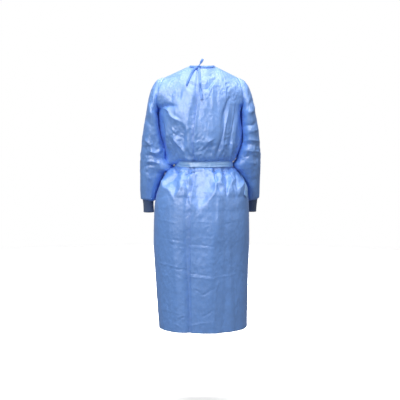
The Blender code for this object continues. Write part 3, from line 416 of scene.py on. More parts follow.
# How far each end of the tie twists about its own length, in degrees
Twist = namedtuple("Twist", "share degrees")
TWISTS = {
    "neck_tie_left": table(Twist, (0.0, 20.0), (0.3, 48.0), (0.7, 30.0), (1.0, 52.0)),
    "neck_tie_down": table(Twist, (0.0, 8.0), (0.5, 4.0), (0.62, 62.0), (0.74, 10.0), (1.0, -22.0)),
}
NECK_KNOT = (-0.0090, -0.0685, -0.0040)
NECK_KNOT_RADII = (0.0075, 0.0045, 0.0060)
NECK_LOOP_LEAN = 0.55

# Free ends of the belt: degrees round from the middle of the back towards the right, and height
Turn = namedtuple("Turn", "degrees z lift")
BELT_ENDS = {
    "belt_end_back": table(
        Turn,
        (113.0, -0.4385, 0.0040), (110.0, -0.4490, 0.0022), (100.0, -0.4640, 0.0018),
        (86.0, -0.4850, 0.0018), (71.0, -0.5190, 0.0020), (60.0, -0.5630, 0.0024),
    ),
    "belt_end_front": table(
        Turn,
        (127.0, -0.4385, 0.0040), (128.0, -0.4500, 0.0022), (131.0, -0.4800, 0.0018),
        (133.0, -0.5400, 0.0018), (134.0, -0.6100, 0.0018), (133.0, -0.6800, 0.0022),
    ),
}
BELT_KNOT_DEGREES = 120.0
BELT_KNOT_RADII = (0.0090, 0.0130, 0.0115)

# How folds, creases and lobes are drawn
CREASE_SHARE = 0.95
FOLD_BOW, FOLD_LEAN, FOLD_CRISPNESS = 0.5, 0.55, 1.6
LOBE_CORNER, LOBE_SLOPE, LOBE_BULGE = 0.045, 0.80, 0.045
LOBE_WANDER_X, LOBE_WANDER_Z = 0.0060, 0.0085

# How far the cloth swells or sags beyond the plain form
OVER_BELT = {RIGHT: 0.0030, LEFT: 0.0130}
SIDE_SWELL = 0.0034
ARMHOLE_LOW, ARMHOLE_HEIGHT = -0.200, 0.148
ARMHOLE_PUSH = {RIGHT: 0.0175, LEFT: 0.0260}
FRONT_ARMHOLE_PUSH = 0.0120
SAG = {RIGHT: 0.0110, LEFT: 0.0170}
SAG_OUT = 0.0110
UNDER_BELT, CLEAR_OF_BELT = 0.0118, 0.0155
LAP_LIFT, LAP_LIFT_ACROSS = 0.0020, 0.022
PUCKER = 0.0011
ELBOW_Z, ELBOW_REACH = -0.39, 0.07

# Points and rows of the meshes
BACK_RIGHT_CELLS, BACK_LEFT_CELLS, LAP_CELLS, FRONT_CELLS = 104, 72, 20, 148
FRONT_STEPS = 1.25
SLEEVE_POINTS = 136
CUFF_POINTS, CUFF_ROWS = 368, 22
TAPE_POINTS, BINDING_POINTS = 9, 7
BELT_ROWS, BELT_BACK_POINTS, BELT_FRONT_POINTS = 15, 160, 140

# Cuffs, tapes, belt and binding
CUFF_THICKNESS, CUFF_UNDER_SLEEVE, CUFF_WAIST, CUFF_GATHER = 0.0012, 0.004, 0.03, 0.006
TAPE_WALL = 0.0010
TAPE_ARCH, TAPE_CREASE, TAPE_WRINKLE = 0.0005, 0.00035, 0.0006
LOOP_ARCH, LOOP_HALF_WIDTH = 0.0006, 0.0070
BELT_OFF, BELT_CREASE, BELT_SECOND_CREASE, BELT_WRINKLE = 0.0036, 0.0012, 0.0014, 0.0008
BELT_ROLL, BELT_TUCK = 0.0030, 0.0026
BINDING_OFF, BINDING_ARCH, BINDING_PUCKER = 0.0021, 0.0005, 0.0005
BELT_SOLID_OFF, BELT_SOLID_WALL, PIECE_GAP = 0.0005, 0.0014, 0.0003
BELT_END_OFF = 0.0006
STITCH_SINK = 0.0002

# The crumples all over the cloth, from the tallest to the finest
Crumple = namedtuple("Crumple", "cell seed height")
CRUMPLES = table(
    Crumple,
    ((0.060, 0.060, 0.110), 11, 0.9),
    ((0.030, 0.030, 0.046), 17, 1.2),
    ((0.015, 0.015, 0.022), 23, 1.5),
)

# Flat cuts in metres: width, length and area
Cut = namedtuple("Cut", "width length area")

# The studio
FLOOR_Z, FLOOR_RADIUS, FLOOR_POINTS = -1.456, 5, 96
WHITE = (1.0, 1.0, 1.0, 1.0)
Light = namedtuple("Light", "name place aim size power spread")
LIGHTS = table(
    Light,
    ("top_softbox", (0.0, -0.75, 1.6), (0.0, -0.1, -0.4), 1.4, 25.0, 180.0),
    ("rear_softbox", (0.0, 1.1, 1.9), (0.0, 0.0, 0.0), 1.4, 13.0, 180.0),
    ("left_softbox", (-1.3, -2.7, 0.7), (0.0, 0.0, -0.7), 0.7, 42.0, 180.0),
    ("floor_softbox", (0.0, 2.9, 2.4), (0.0, 2.6, -1.4), 1.6, 170.0, 80.0),
    ("right_softbox", (2.6, -2.0, 0.2), (0.0, 0.0, -0.7), 1.2, 8.0, 180.0),
)
CAMERA_PLACE, CAMERA_LENS, CAMERA_DOWN = (-0.0044, -4.0, -0.25), 81.8, 4.8


def length_prop(name, default, description):
    return FloatProperty(name=name, description=description, default=default, unit="LENGTH")


def colour_prop(name, default, description):
    return FloatVectorProperty(name=name, description=description, default=default, subtype="COLOR", size=3)


class GownSizes(PropertyGroup):
    """Sizes and colours of the gown's looks."""

    cloth_thickness: length_prop("Cloth thickness", 0.0005, "Thickness of the non-woven cloth")
    tape_thickness: length_prop("Tape thickness", 0.0010, "Thickness of the folded tape of the belt and ties")
    mesh_step: length_prop("Mesh step", 0.0034, "Distance between the points of the cloth")
    crumple: length_prop("Crumple", 0.0018, "Height of the small papery crumples all over the cloth")
    gather: length_prop("Gather", 0.0022, "Height of the small gathers beside the belt")
    seam_dip: length_prop("Seam dip", 0.0010, "Depth of the groove that a seam pulls into the cloth")
    binding_width: length_prop("Binding width", 0.0115, "Width of the tape over the neck edge")
    tie_width: length_prop("Tie width", 0.0100, "Width of the neck tie")
    belt_width: length_prop("Belt width", 0.0240, "Width of the belt")
    loop_length: length_prop("Loop length", 0.0340, "How far the bow's loop stands out from its knot")
    cuff_ribs: IntProperty(name="Cuff ribs", description="Ribs round one cuff", default=46)
    cuff_rib_height: length_prop("Cuff rib height", 0.0008, "Height of the cuff's ribs")
    stitch_length: length_prop("Stitch length", 0.0038, "Distance from one stitch to the next")
    stitch_width: length_prop("Stitch width", 0.0005, "Thickness of the sewing thread")
    cloth_colour: colour_prop("Cloth colour", (0.128, 0.350, 0.900), "Main colour of the non-woven cloth")
    tape_colour: colour_prop("Tape colour", (0.100, 0.285, 0.830), "Colour of the neck tie and binding")
    # Painted light: the belt's colour is lighter than the cloth's, standing in for the light on its upward
    # faces and its gloss
    belt_colour_painted_light: colour_prop("Belt colour", (0.230, 0.500, 0.980), "Colour of the belt and its ends")
    cuff_colour: colour_prop("Cuff colour", (0.070, 0.122, 0.255), "Colour of the rib-knit cuffs")
    thread_colour: colour_prop("Thread colour", (0.240, 0.390, 0.720), "Colour of the sewing thread")


def sizes():
    return bpy.context.scene.gown_sizes


def exact(value):
    """A size as it was meant, without the last digits that single precision adds."""
    return round(float(value), 6)


# Curves through tables, lines and noise


def slopes(knots, values):
    """The slope at each knot of a cubic that never overshoots its values."""
    step = np.diff(knots).reshape((-1,) + (1,) * (values.ndim - 1))
    rise = np.diff(values, axis=0) / step
    found = np.zeros_like(values)
    found[0] = rise[0]
    found[-1] = rise[-1]
    same = rise[:-1] * rise[1:] > 0
    before = np.where(same, rise[:-1], 1.0)
    after = np.where(same, rise[1:], 1.0)
    found[1:-1] = np.where(same, 2.0 * before * after / (before + after), 0.0)
    return found


def smooth(knots, values, at):
    """Values at `at` on a smooth curve through the knots: one curve for all, or one for each column."""
    index = np.clip(np.searchsorted(knots, at, side="right") - 1, 0, len(knots) - 2)
    width = knots[index + 1] - knots[index]
    t = (at - knots[index]) / width
    ends = (index, index + 1)
    if values.ndim > 1:
        column = np.arange(values.shape[1])
        ends = ((index, column), (index + 1, column))
        t, width = t[:, None], width[:, None]
    tilt = slopes(knots, values)
    square, cube = t * t, t * t * t
    return (
        (2 * cube - 3 * square + 1) * values[ends[0]]
        + (cube - 2 * square + t) * width * tilt[ends[0]]
        + (3 * square - 2 * cube) * values[ends[1]]
        + (cube - square) * width * tilt[ends[1]]
    )


def read(rows, at):
    """Reads a table of two columns at `at`, on a smooth curve that is level beyond the table's ends."""
    marks, values = np.array(rows).T
    return smooth(marks, values, np.clip(at, marks[0], marks[-1]))


def ease(low, high, value):
    """0 below low, 1 above high, and smooth between."""
    t = np.clip((value - low) / (high - low), 0.0, 1.0)
    return t * t * (3 - 2 * t)


def within(rise, fall, value):
    """Rises from 0 to 1 over the first stretch and falls back to 0 over the second one."""
    return ease(*rise, value) * (1 - ease(*fall, value))


def hump(value, middle, width):
    return np.exp(-(((value - middle) / width) ** 2))


def stacked(*parts):
    """Points, or other rows of numbers, from their columns."""
    return np.stack(parts, axis=-1)


def unit(vectors):
    return vectors / np.maximum(np.linalg.norm(vectors, axis=-1, keepdims=True), 1e-12)


def run_along(points, axis):
    """The length of cloth from the first row or column to each point."""
    steps = np.linalg.norm(np.diff(points, axis=axis), axis=-1)
    first = np.zeros_like(np.take(steps, [0], axis=axis))
    return np.concatenate([first, np.cumsum(steps, axis=axis)], axis=axis)


def line_length(points):
    return float(np.linalg.norm(np.diff(points, axis=0), axis=-1).sum())


def ironed(points, times):
    """Takes the smallest bumps out of a line by drawing each point towards its neighbours."""
    points = points.copy()
    for _ in range(times):
        points[1:-1] = (points[:-2] + 2 * points[1:-1] + points[2:]) / 4
    return points


def waves(points, cell, seed):
    """Smooth noise from about -1 to 1 at 3-D points. cell gives the size of its waves on each axis."""
    points = points / np.asarray(cell)
    base = np.floor(points).astype(np.int64)
    part = points - base
    blend = part**3 * (part * (part * 6 - 15) + 10)
    total = np.zeros(len(points))
    for corner in itertools.product((0, 1), repeat=3):
        at = base + corner
        # Whole numbers mixed up so that neighbouring cells get unlike slopes
        mixed = (at[:, 0] * 73856093) ^ (at[:, 1] * 19349663) ^ (at[:, 2] * 83492791) ^ (seed * 2654435)
        mixed = (mixed ^ (mixed >> 13)) * 1274126177 & 0x7FFFFFFFFFFF
        mixed = mixed ^ (mixed >> 17)
        offset = part - corner
        weight = np.prod(np.where(corner, blend, 1 - blend), axis=1)
        slope = [((mixed >> shift) & 0xFF) / 127.5 - 1 for shift in (0, 9, 18)]
        total += weight * sum(slope[axis] * offset[:, axis] for axis in range(3))
    return total * 1.5


def papery(points, cell, seed):
    """Noise with crisp crests and troughs, like paper that was crushed and smoothed out again."""
    bent = points + 0.4 * np.min(cell) * stacked(*(waves(points, cell, seed + k) for k in (7, 8, 9)))
    return np.abs(waves(bent, cell, seed)) - np.abs(waves(bent, cell, seed + 1))


def flat_noise(noise, u, v, seed, layer=0.0, cell=EVEN):
    """Noise over flat cloth: u and v are places on it, and layer picks another slice of the noise."""
    u, v = np.broadcast_arrays(u, v)
    at = stacked(u, v, np.full(u.shape, layer)).reshape(-1, 3)
    return noise(at, cell, seed).reshape(u.shape)


# The form of the body


def depth_of(section, face):
    return section.front if face == FRONT else section.back


def ring_row(section, face, across):
    """One level ring of the body: across runs from -1, the left side seam, to 1, the right one."""
    angle = across * math.pi / 2
    power = 2 / section.square
    half = np.where(across > 0, section.right, section.left)
    x = half * np.sign(across) * np.abs(np.sin(angle)) ** power
    y = face * depth_of(section, face) * np.clip(np.cos(angle), 0.0, 1.0) ** power
    return stacked(x, y, np.full_like(across, section.z))


def upper_row(row, across):
    """One row above the armpits, from armhole edge to armhole edge."""
    marks = np.array([-1.0, -NECK_ACROSS, 0.0, NECK_ACROSS, 1.0])
    curves = (
        (-row.left, row.shift - row.neck_x, row.shift, row.shift + row.neck_x, row.right),
        (row.edge_y, row.neck_y, row.middle_y, row.neck_y, row.edge_y),
        (row.edge_z, row.neck_z, row.middle_z, row.neck_z, row.edge_z),
    )
    return stacked(*(smooth(marks, np.array(values), across) for values in curves))


def top_row(row, across):
    """The top edge: straight shoulder seams, and the round neckline between them."""
    turn = np.clip(across / NECK_ACROSS, -1.0, 1.0) * math.pi / 2
    bow = 1 - np.cos(turn)
    neck = stacked(
        row.shift + row.neck_x * np.sin(turn),
        row.middle_y + (row.neck_y - row.middle_y) * bow,
        row.middle_z + (row.neck_z - row.middle_z) * bow,
    )
    share = np.clip((np.abs(across) - NECK_ACROSS) / (1 - NECK_ACROSS), 0.0, 1.0)[..., None]
    tip_x = np.where(across > 0, row.right, -row.left)
    tip = stacked(tip_x, np.full_like(across, row.edge_y), np.full_like(across, row.edge_z))
    return neck * (1 - share) + tip * share


def stations(face, across):
    """The rows that the body is built on, from the hem to the top edge."""
    *upper, top = UPPER[face]
    rings = [ring_row(section, face, across) for section in BODY]
    return np.stack([*rings, *(upper_row(row, across) for row in upper), top_row(top, across)])


# The length of cloth from the hem to each station, along the neck column of the back
ALONG = run_along(stations(BACK, np.array([NECK_ACROSS])), 0)[:, 0]
TOP = ALONG[-1]


def plain_body(face, across, along):
    return smooth(ALONG, stations(face, across), along)


def facing(face, across, along):
    """The outward direction of the plain body."""
    side = plain_body(face, np.clip(across + TINY, -1, 1), along)
    side = side - plain_body(face, np.clip(across - TINY, -1, 1), along)
    up = plain_body(face, across, np.clip(along + TINY, 0, TOP))
    up = up - plain_body(face, across, np.clip(along - TINY, 0, TOP))
    return unit(np.cross(side, up)) * -face


def fold_height(folds, x, z):
    """The sum of the folds at each point. A fold fades to nothing at its far end and out to its sides."""
    total = np.zeros_like(x)
    for fold in folds:
        run_x, run_z = fold.x1 - fold.x0, fold.z1 - fold.z0
        length = math.hypot(run_x, run_z)
        along = ((x - fold.x0) * run_x + (z - fold.z0) * run_z) / length**2
        aside = ((x - fold.x0) * run_z - (z - fold.z0) * run_x) / length / fold.width
        # Each line bows a little and is wider at its far end
        aside = (aside - FOLD_BOW * np.sin(along * 5.1 + fold.x0 * 90)) / (0.8 + 0.4 * np.clip(along, 0, 1))
        # One flank is steeper than the other
        lean = FOLD_LEAN * math.sin(fold.x0 * 977 + fold.z0 * 531)
        aside = aside * np.where(aside > 0, 1 + lean, 1 - lean)
        crisp = np.exp(-FOLD_CRISPNESS * np.abs(aside))
        profile = (1 - fold.sharp) * np.exp(-(aside**2)) + fold.sharp * crisp
        rise = fold.start * ease(-0.12, 0.0, along) + (1 - fold.start) * ease(0.0, 0.4, along)
        total += fold.height * profile * rise * (1 - ease(0.6, 1.08, along))
    return total


def lobe_height(face, x, z, across):
    """How far the cloth stands out of the plain form, so that the slope below the belt ends in lobes."""
    moved_x = x + LOBE_WANDER_X * flat_noise(waves, x, z, 51, 0.3 * face, (0.022, 0.030, 1.0))
    moved_z = z + LOBE_WANDER_Z * flat_noise(waves, x, z, 53, 0.3 * face, (0.030, 0.030, 1.0))
    heights = np.array([section.z for section in BODY])
    depths = np.array([depth_of(section, face) for section in BODY])
    break_z = read(LOBES[face], np.clip(moved_x, -0.204, 0.204))
    first = np.interp(LOBE_TOP, heights, depths)
    share = np.clip((LOBE_TOP - moved_z) / (LOBE_TOP - break_z), 0.0, 2.0)
    # The slope runs on nearly straight to the break, and bulges just above it
    rounded = share - LOBE_CORNER * np.log1p(np.exp((share - 1.0) / LOBE_CORNER))
    rise = np.clip(rounded, 0.0, None) ** LOBE_SLOPE + LOBE_BULGE * hump(share, 0.93, 0.12)
    wanted = first + (LOBE_DEPTH[face] - first) * rise
    inside = 1 - ease(LOBE_TOP - 0.010, LOBE_TOP + 0.004, moved_z)
    fade = ease(-0.80, -0.64, moved_z) * (1 - ease(0.60, 0.92, np.abs(across)))
    return (wanted - np.interp(moved_z, heights, depths)) * inside * fade


def side_billow(z, across):
    """How far the body's sides swell towards the sleeves, and over the belt."""
    most = np.where(across > 0, OVER_BELT[RIGHT], OVER_BELT[LEFT])
    over_belt = most * within((-0.4135, -0.4020), (-0.4000, -0.3500), z)
    high = SIDE_SWELL * within((-0.40, -0.36), (-0.195, -0.17), z)
    return (over_belt + high) * ease(0.55, 0.95, np.abs(across))


def armhole_push(face, side, z, share):
    """Brings the cloth beside the armhole out to the sleeve's width. The seam lies in a shallow dip."""
    reach = np.clip((z - ARMHOLE_LOW) / ARMHOLE_HEIGHT, 0.0, 1.0)
    most = np.where(side < 0, ARMHOLE_PUSH[LEFT], ARMHOLE_PUSH[RIGHT]) if face == BACK else FRONT_ARMHOLE_PUSH
    amount = most * np.sin(np.pi * reach) ** 0.8 * share
    return stacked(side * amount * 0.25, face * amount, amount * 0.10)


def near_belt(z):
    """0 under the belt and 1 away from it."""
    return ease(UNDER_BELT, CLEAR_OF_BELT, np.abs(z - BODY[BELT_MIDDLE].z))


def crumple_height(plain, across, along, z):
    """Small creases all over, taller where the cloth is slack above the belt."""
    size = sizes()
    slack = 0.34 + 0.46 * ease(-0.60, -0.40, z) + 0.25 * hump(z, -0.33, 0.10)
    tall, middle, fine = (papery(plain, kind.cell, kind.seed) * kind.height for kind in CRUMPLES)
    patch = ease(-0.30, 0.4, waves(plain, (0.08, 0.08, 0.10), 31))
    height = size.crumple * slack * (tall + middle * (0.25 + 0.9 * patch) + fine * (0.2 + 1.0 * patch))
    # Long fine wrinkles run down the back between the shoulders and the belt
    u, v = across * 9.0, along * 4.5
    drawn = flat_noise(papery, u, v, 37, 1.0) + 0.5 * flat_noise(papery, u * 2.1, v * 1.6, 39, 1.0)
    strength = ease(-0.43, -0.39, z) * (0.35 + 0.65 * (1 - ease(-0.16, -0.06, z)))
    height += 0.6 * size.crumple * drawn * strength
    # Gathers run along the cloth's own columns and fade away from the belt
    u, v = across * 10.0, along * 2.2
    gathers = flat_noise(papery, u, v, 41) + 0.6 * flat_noise(papery, u * 2.3, v, 43)
    return height + size.gather * gathers * hump(np.abs(z - BODY[BELT_MIDDLE].z), 0.012, 0.055)


def dressed(face, across, along):
    """Points of the gown's body with every fold, and the plain outward directions."""
    plain = plain_body(face, across, along)
    x, z = plain[:, 0], plain[:, 2]
    out = np.abs(across)
    height = fold_height(FOLDS[face], x, z)
    unsteady = 0.45 + 0.75 * ease(-0.5, 0.5, waves(plain, (0.016, 0.016, 0.016), 57))
    height += CREASE_SHARE * unsteady * fold_height(CREASES[face], x, z)
    height += crumple_height(plain, across, along, z)
    height *= 1 - ease(0.90, 1.0, out)
    height += lobe_height(face, x, z, across) + side_billow(z, across)
    height *= 1 - ease(ALONG[ARMPIT + 2], TOP - 0.004, along)
    height *= near_belt(z)
    normals = facing(face, across, along)
    pushed = armhole_push(face, np.sign(across), z, ease(0.50, 1.0, out))
    # At the sides the cloth above the belt sags over it, further on the left
    over = np.where(across < 0, 1.0, 0.35) * ease(0.45, 0.85, out)
    sag = within((-0.4150, -0.4120), (-0.4110, -0.3800), z) * over
    pushed[:, 2] -= np.where(across < 0, SAG[LEFT], SAG[RIGHT]) * sag
    pushed[:, 0] += np.sign(across) * SAG_OUT * sag
    return plain + normals * height[:, None] + pushed, normals


# Sheets of points


def spread(first, last, cells):
    """Evenly spaced columns between two edges, which may differ from row to row."""
    share = np.linspace(0.0, 1.0, cells + 1)
    return np.asarray(first)[..., None] * (1 - share) + np.asarray(last)[..., None] * share


def grid_normals(points, sign, closed=False):
    """Outward directions of a grid of points, from its neighbours along and across."""
    up = np.gradient(points, axis=0)
    if closed:
        side = np.roll(points, -1, axis=1) - np.roll(points, 1, axis=1)
    else:
        side = np.gradient(points, axis=1)
    return unit(np.cross(side, up)) * sign


def wall(name, points, normals, thickness, sign, closed=False):
    """A closed thin wall on a grid of outer points, with its cloth's own lengths as UV, in metres."""
    rows, columns = points.shape[:2]
    count = rows * columns
    layers = np.concatenate([points.reshape(-1, 3), (points - normals * thickness).reshape(-1, 3)])
    wrap = np.concatenate([points, points[:, :1]], axis=1) if closed else points
    across = run_along(wrap, 1)
    across = across - across.mean(axis=1, keepdims=True)
    along = run_along(wrap, 0)
    width = columns if closed else columns - 1

    def corner(row, column, layer):
        row, column = np.broadcast_arrays(row, column)
        return stacked(row * columns + column % columns + layer * count, row, column)

    def rim(row, column, next_row, next_column):
        first, second = (row, column), (next_row, next_column)
        ends = ((first, 0), (first, 1), (second, 1), (second, 0))
        return np.stack([corner(*place_at, layer) for place_at, layer in ends], axis=1)

    row, column = np.meshgrid(np.arange(rows - 1), np.arange(width), indexing="ij")
    row, column = row.ravel(), column.ravel()
    steps = ((0, 0), (0, 1), (1, 1), (1, 0))
    outer = np.stack([corner(row + up, column + over, 0) for up, over in steps], axis=1)
    inner = outer[:, ::-1].copy()
    inner[..., 0] += count
    edge = np.arange(width)
    rims = [rim(0, edge, 0, edge + 1), rim(rows - 1, edge + 1, rows - 1, edge)]
    if not closed:
        edge = np.arange(rows - 1)
        rims += [rim(edge + 1, 0, edge, 0), rim(edge, columns - 1, edge + 1, columns - 1)]
    faces = np.concatenate([outer, inner] + rims)
    if sign < 0:
        faces = faces[:, ::-1]
    mesh = bpy.data.meshes.new(name)
    mesh.vertices.add(len(layers))
    mesh.vertices.foreach_set("co", layers.ravel())
    mesh.loops.add(faces.shape[0] * 4)
    mesh.loops.foreach_set("vertex_index", faces[..., 0].ravel())
    mesh.polygons.add(len(faces))
    mesh.polygons.foreach_set("loop_start", np.arange(len(faces)) * 4)
    mesh.polygons.foreach_set("loop_total", np.full(len(faces), 4))
    uv = stacked(across[faces[..., 1], faces[..., 2]], along[faces[..., 1], faces[..., 2]])
    mesh.uv_layers.new(name="cloth").data.foreach_set("uv", uv.ravel())
    mesh.update(calc_edges=True)
    mesh.validate()
    mesh.shade_smooth()
    return place(name, mesh)


def place(name, data):
    """Puts a mesh, light or camera in the scene under a name that no solid has."""
    made = bpy.data.objects.new(name, data)
    bpy.context.scene.collection.objects.link(made)
    return made


def finish_piece(piece, slot, nodes, finish=None):
    """Gives a piece its material, from its finish or else its slot, and its body, and hides the solids it
    stands for.
    """
    piece.data.materials.clear()
    piece.data.materials.append(material_for(finish or slot))
    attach(piece, "root")
    if nodes:
        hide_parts(*nodes)


# Nodes, for materials and for Geometry Nodes


def fill(tree, made, inputs):
    """Sets each of a node's inputs to a value, or links it to another node's output."""
    for socket, value in dict(inputs).items():
        if isinstance(value, bpy.types.NodeSocket):
            tree.links.new(value, made.inputs[socket])
        else:
            made.inputs[socket].default_value = value


def node(tree, kind, inputs=(), **settings):
    made = tree.nodes.new(kind)
    for key, value in settings.items():
        setattr(made, key, value)
    fill(tree, made, inputs)
    return made


def maths(tree, operation, *values):
    return node(tree, "ShaderNodeMath", enumerate(values), operation=operation).outputs[0]


def weighted(tree, first, share, second):
    """The first value's share and the rest of the second one."""
    parts = (maths(tree, "MULTIPLY", value, part) for value, part in ((first, share), (second, 1 - share)))
    return maths(tree, "ADD", *parts)


def noise_node(tree, source, scale, detail, stretch=EVEN):
    mapping = node(tree, "ShaderNodeMapping", {"Scale": stretch, "Vector": source})
    inputs = {"Scale": scale, "Detail": detail, "Vector": mapping.outputs["Vector"]}
    return node(tree, "ShaderNodeTexNoise", inputs).outputs["Fac"]


def facet_node(tree, source, scale):
    """Cells with a crisp line between them, bent by noise and longer than they are wide."""
    bend = node(tree, "ShaderNodeTexNoise", {"Scale": scale * 0.5, "Detail": 2.0, "Vector": source})
    inputs = {"Factor": 0.9 / scale, "A": source, "B": bend.outputs["Color"]}
    moved = node(tree, "ShaderNodeMix", inputs, data_type="RGBA", blend_type="LINEAR_LIGHT")
    inputs = {"Rotation": (0.3, 0.5, 0.4), "Scale": (1.0, 1.0, 0.55), "Vector": moved.outputs["Result"]}
    stretched = node(tree, "ShaderNodeMapping", inputs).outputs["Vector"]
    cells = node(tree, "ShaderNodeTexVoronoi", {"Scale": scale, "Vector": stretched}, feature="F1")
    return cells.outputs["Distance"]


def curve_node(tree, source, low, high, out_low, out_high):
    inputs = {"From Min": low, "From Max": high, "To Min": out_low, "To Max": out_high, "Value": source}
    return node(tree, "ShaderNodeMapRange", inputs, interpolation_type="SMOOTHSTEP").outputs["Result"]


def mix_node(tree, factor, first, second):
    """Mixes two colours, each given as three numbers or as another node's output."""
    inputs = {"A": first, "B": second, "Factor": factor}
    for end in ("A", "B"):
        if not isinstance(inputs[end], bpy.types.NodeSocket):
            inputs[end] = (*inputs[end], 1.0)
    return node(tree, "ShaderNodeMix", inputs, data_type="RGBA").outputs["Result"]


def add_bump(tree, shader, height, distance, strength):
    """Adds a bump on top of those that the shader has already."""
    bump = node(tree, "ShaderNodeBump", {"Distance": distance, "Strength": strength, "Height": height})
    before = shader.inputs["Normal"].links
    if before:
        tree.links.new(before[0].from_socket, bump.inputs["Normal"])
    tree.links.new(bump.outputs["Normal"], shader.inputs["Normal"])


def shade(colour, factor):
    return tuple(min(1.0, value * factor) for value in colour)


def new_material(name, colour, roughness, sheen, gloss=1.45):
    """A material with its node tree, its shader, and the UV and Object coordinates."""
    material = bpy.data.materials.new(name)
    material.use_nodes = True
    tree = material.node_tree
    shader = tree.nodes["Principled BSDF"]
    inputs = {
        "Base Color": (*colour, 1.0),
        "Roughness": roughness,
        "Metallic": 0.0,
        "Specular IOR Level": 1.0,
        "IOR": gloss,
        "Sheen Weight": sheen,
        "Sheen Roughness": 0.45,
    }
    fill(tree, shader, inputs)
    at = node(tree, "ShaderNodeTexCoord").outputs
    return material, tree, shader, at["UV"], at["Object"]


def nonwoven_material(name, colour, roughness=0.47, gloss=1.95):
    """Spun-bonded cloth: bonded dots in rows, cloudy fibres, streaks, and fine papery wrinkles."""
    material, tree, shader, uv, body = new_material(name, colour, roughness, 0.10, gloss)
    clouds = noise_node(tree, body, 55.0, 5.0)
    broad = noise_node(tree, body, 7.0, 3.0)
    streaks = noise_node(tree, uv, 420.0, 3.0, (1.0, 0.12, 1.0))
    # Rows of bonded dots, 1.6 mm apart
    inputs = {"Scale": 620.0, "Randomness": 0.15, "Vector": uv}
    dots = node(tree, "ShaderNodeTexVoronoi", inputs, feature="F1")
    bonded = curve_node(tree, dots.outputs["Distance"], 0.18, 0.42, 1.0, 0.0)
    patches = curve_node(tree, weighted(tree, clouds, 0.55, broad), 0.34, 0.66, 0.0, 1.0)
    base = mix_node(tree, patches, shade(colour, 0.93), shade(colour, 1.07))
    spots = mix_node(tree, maths(tree, "MULTIPLY", bonded, 0.35), base, shade(colour, 0.90))
    rough = maths(tree, "SUBTRACT", roughness + 0.05, maths(tree, "MULTIPLY", bonded, 0.10))
    fill(tree, shader, {"Base Color": spots, "Roughness": rough})
    # Fine wrinkles: small facets that meet in crisp lines
    for scale, distance, strength in ((24.0, 0.0032, 0.5), (58.0, 0.0022, 0.5)):
        add_bump(tree, shader, facet_node(tree, body, scale), distance, strength)
    fuzz = maths(tree, "SUBTRACT", maths(tree, "MULTIPLY", streaks, 0.5), bonded)
    add_bump(tree, shader, fuzz, 0.00012, 0.6)
    return material


def rib_knit_material(name, colour):
    """Rib knit: stitches climb each rib, and the colour is darker between the ribs. The colour follows the
    same stitch pattern as the bump: painted shade in the grooves and a painted highlight on the raised
    stitches.
    """
    material, tree, shader, uv, body = new_material(name, colour, 0.85, 0.5)
    inputs = {"Scale": 190.0, "Distortion": 1.5, "Detail": 1.0, "Vector": uv}
    loops = node(tree, "ShaderNodeTexWave", inputs, wave_type="BANDS", bands_direction="Y").outputs["Fac"]
    factor = weighted(tree, loops, 0.6, noise_node(tree, body, 900.0, 3.0))
    # Painted shade and highlight: the stitch bands darken the colour in the grooves and lighten it on the
    # stitches, mixed with random yarn tone from the noise
    fill(tree, shader, {"Base Color": mix_node(tree, factor, shade(colour, 0.72), shade(colour, 1.30))})
    add_bump(tree, shader, factor, 0.0005, 0.7)
    return material


def plain_material(name, colour, roughness, sheen, grain, ends):
    """A plain finish whose colour varies a little. grain is the scale and detail of that."""
    material, tree, shader, _, body = new_material(name, colour, roughness, sheen)
    speckle = noise_node(tree, body, *grain)
    fill(tree, shader, {"Base Color": mix_node(tree, speckle, *ends)})
    return material


def thread_material(name, colour):
    return plain_material(name, colour, 0.7, 0.3, (1500.0, 2.0), (shade(colour, 0.85), shade(colour, 1.12)))


FINISHES = {
    "nonwoven_blue": lambda name, size: nonwoven_material(name, size.cloth_colour),
    "tape_blue": lambda name, size: nonwoven_material(name, size.tape_colour, 0.52, 1.60),
    # The belt's finish is a lighter copy of the cloth's: painted light for its lit upper faces
    "belt_blue": lambda name, size: nonwoven_material(name, size.belt_colour_painted_light, 0.46),
    "rib_knit_navy": lambda name, size: rib_knit_material(name, size.cuff_colour),
    "thread_blue": lambda name, size: thread_material(name, size.thread_colour),
}


def material_for(kind):
    """One material for each finish, made when it is first asked for."""
    name = "gown_" + kind
    return bpy.data.materials.get(name) or FINISHES[kind](name, sizes())


def new_tree(name, inputs):
    """A Geometry Nodes tree with its entry and exit. inputs gives each input's kind and default."""
    tree = bpy.data.node_groups.new(name, "GeometryNodeTree")
    tree.interface.new_socket("Geometry", in_out="INPUT", socket_type="NodeSocketGeometry")
    tree.interface.new_socket("Geometry", in_out="OUTPUT", socket_type="NodeSocketGeometry")
    for label, (kind, default) in inputs.items():
        socket = tree.interface.new_socket(label, in_out="INPUT", socket_type=kind)
        if default is not None:
            socket.default_value = default
    return tree, tree.nodes.new("NodeGroupInput").outputs, tree.nodes.new("NodeGroupOutput")


def end_tree(tree, geometry, entry, leave):
    """Ends a tree in Realize Instances and Set Material."""
    whole = node(tree, "GeometryNodeRealizeInstances", {"Geometry": geometry.outputs[0]})
    inputs = {"Geometry": whole.outputs[0], "Material": entry["Material"]}
    painted = node(tree, "GeometryNodeSetMaterial", inputs)
    tree.links.new(painted.outputs[0], leave.inputs["Geometry"])
    return tree


def named_attribute(tree, name, kind):
    made = node(tree, "GeometryNodeInputNamedAttribute", {"Name": name}, data_type=kind)
    return next(socket for socket in made.outputs if socket.enabled and socket.name == "Attribute")


def store_attribute(piece, name, kind, values):
    attribute = piece.data.attributes.new(name, kind, "POINT")
    field = "vector" if kind == "FLOAT_VECTOR" else "value"
    attribute.data.foreach_set(field, np.asarray(values, float).ravel())


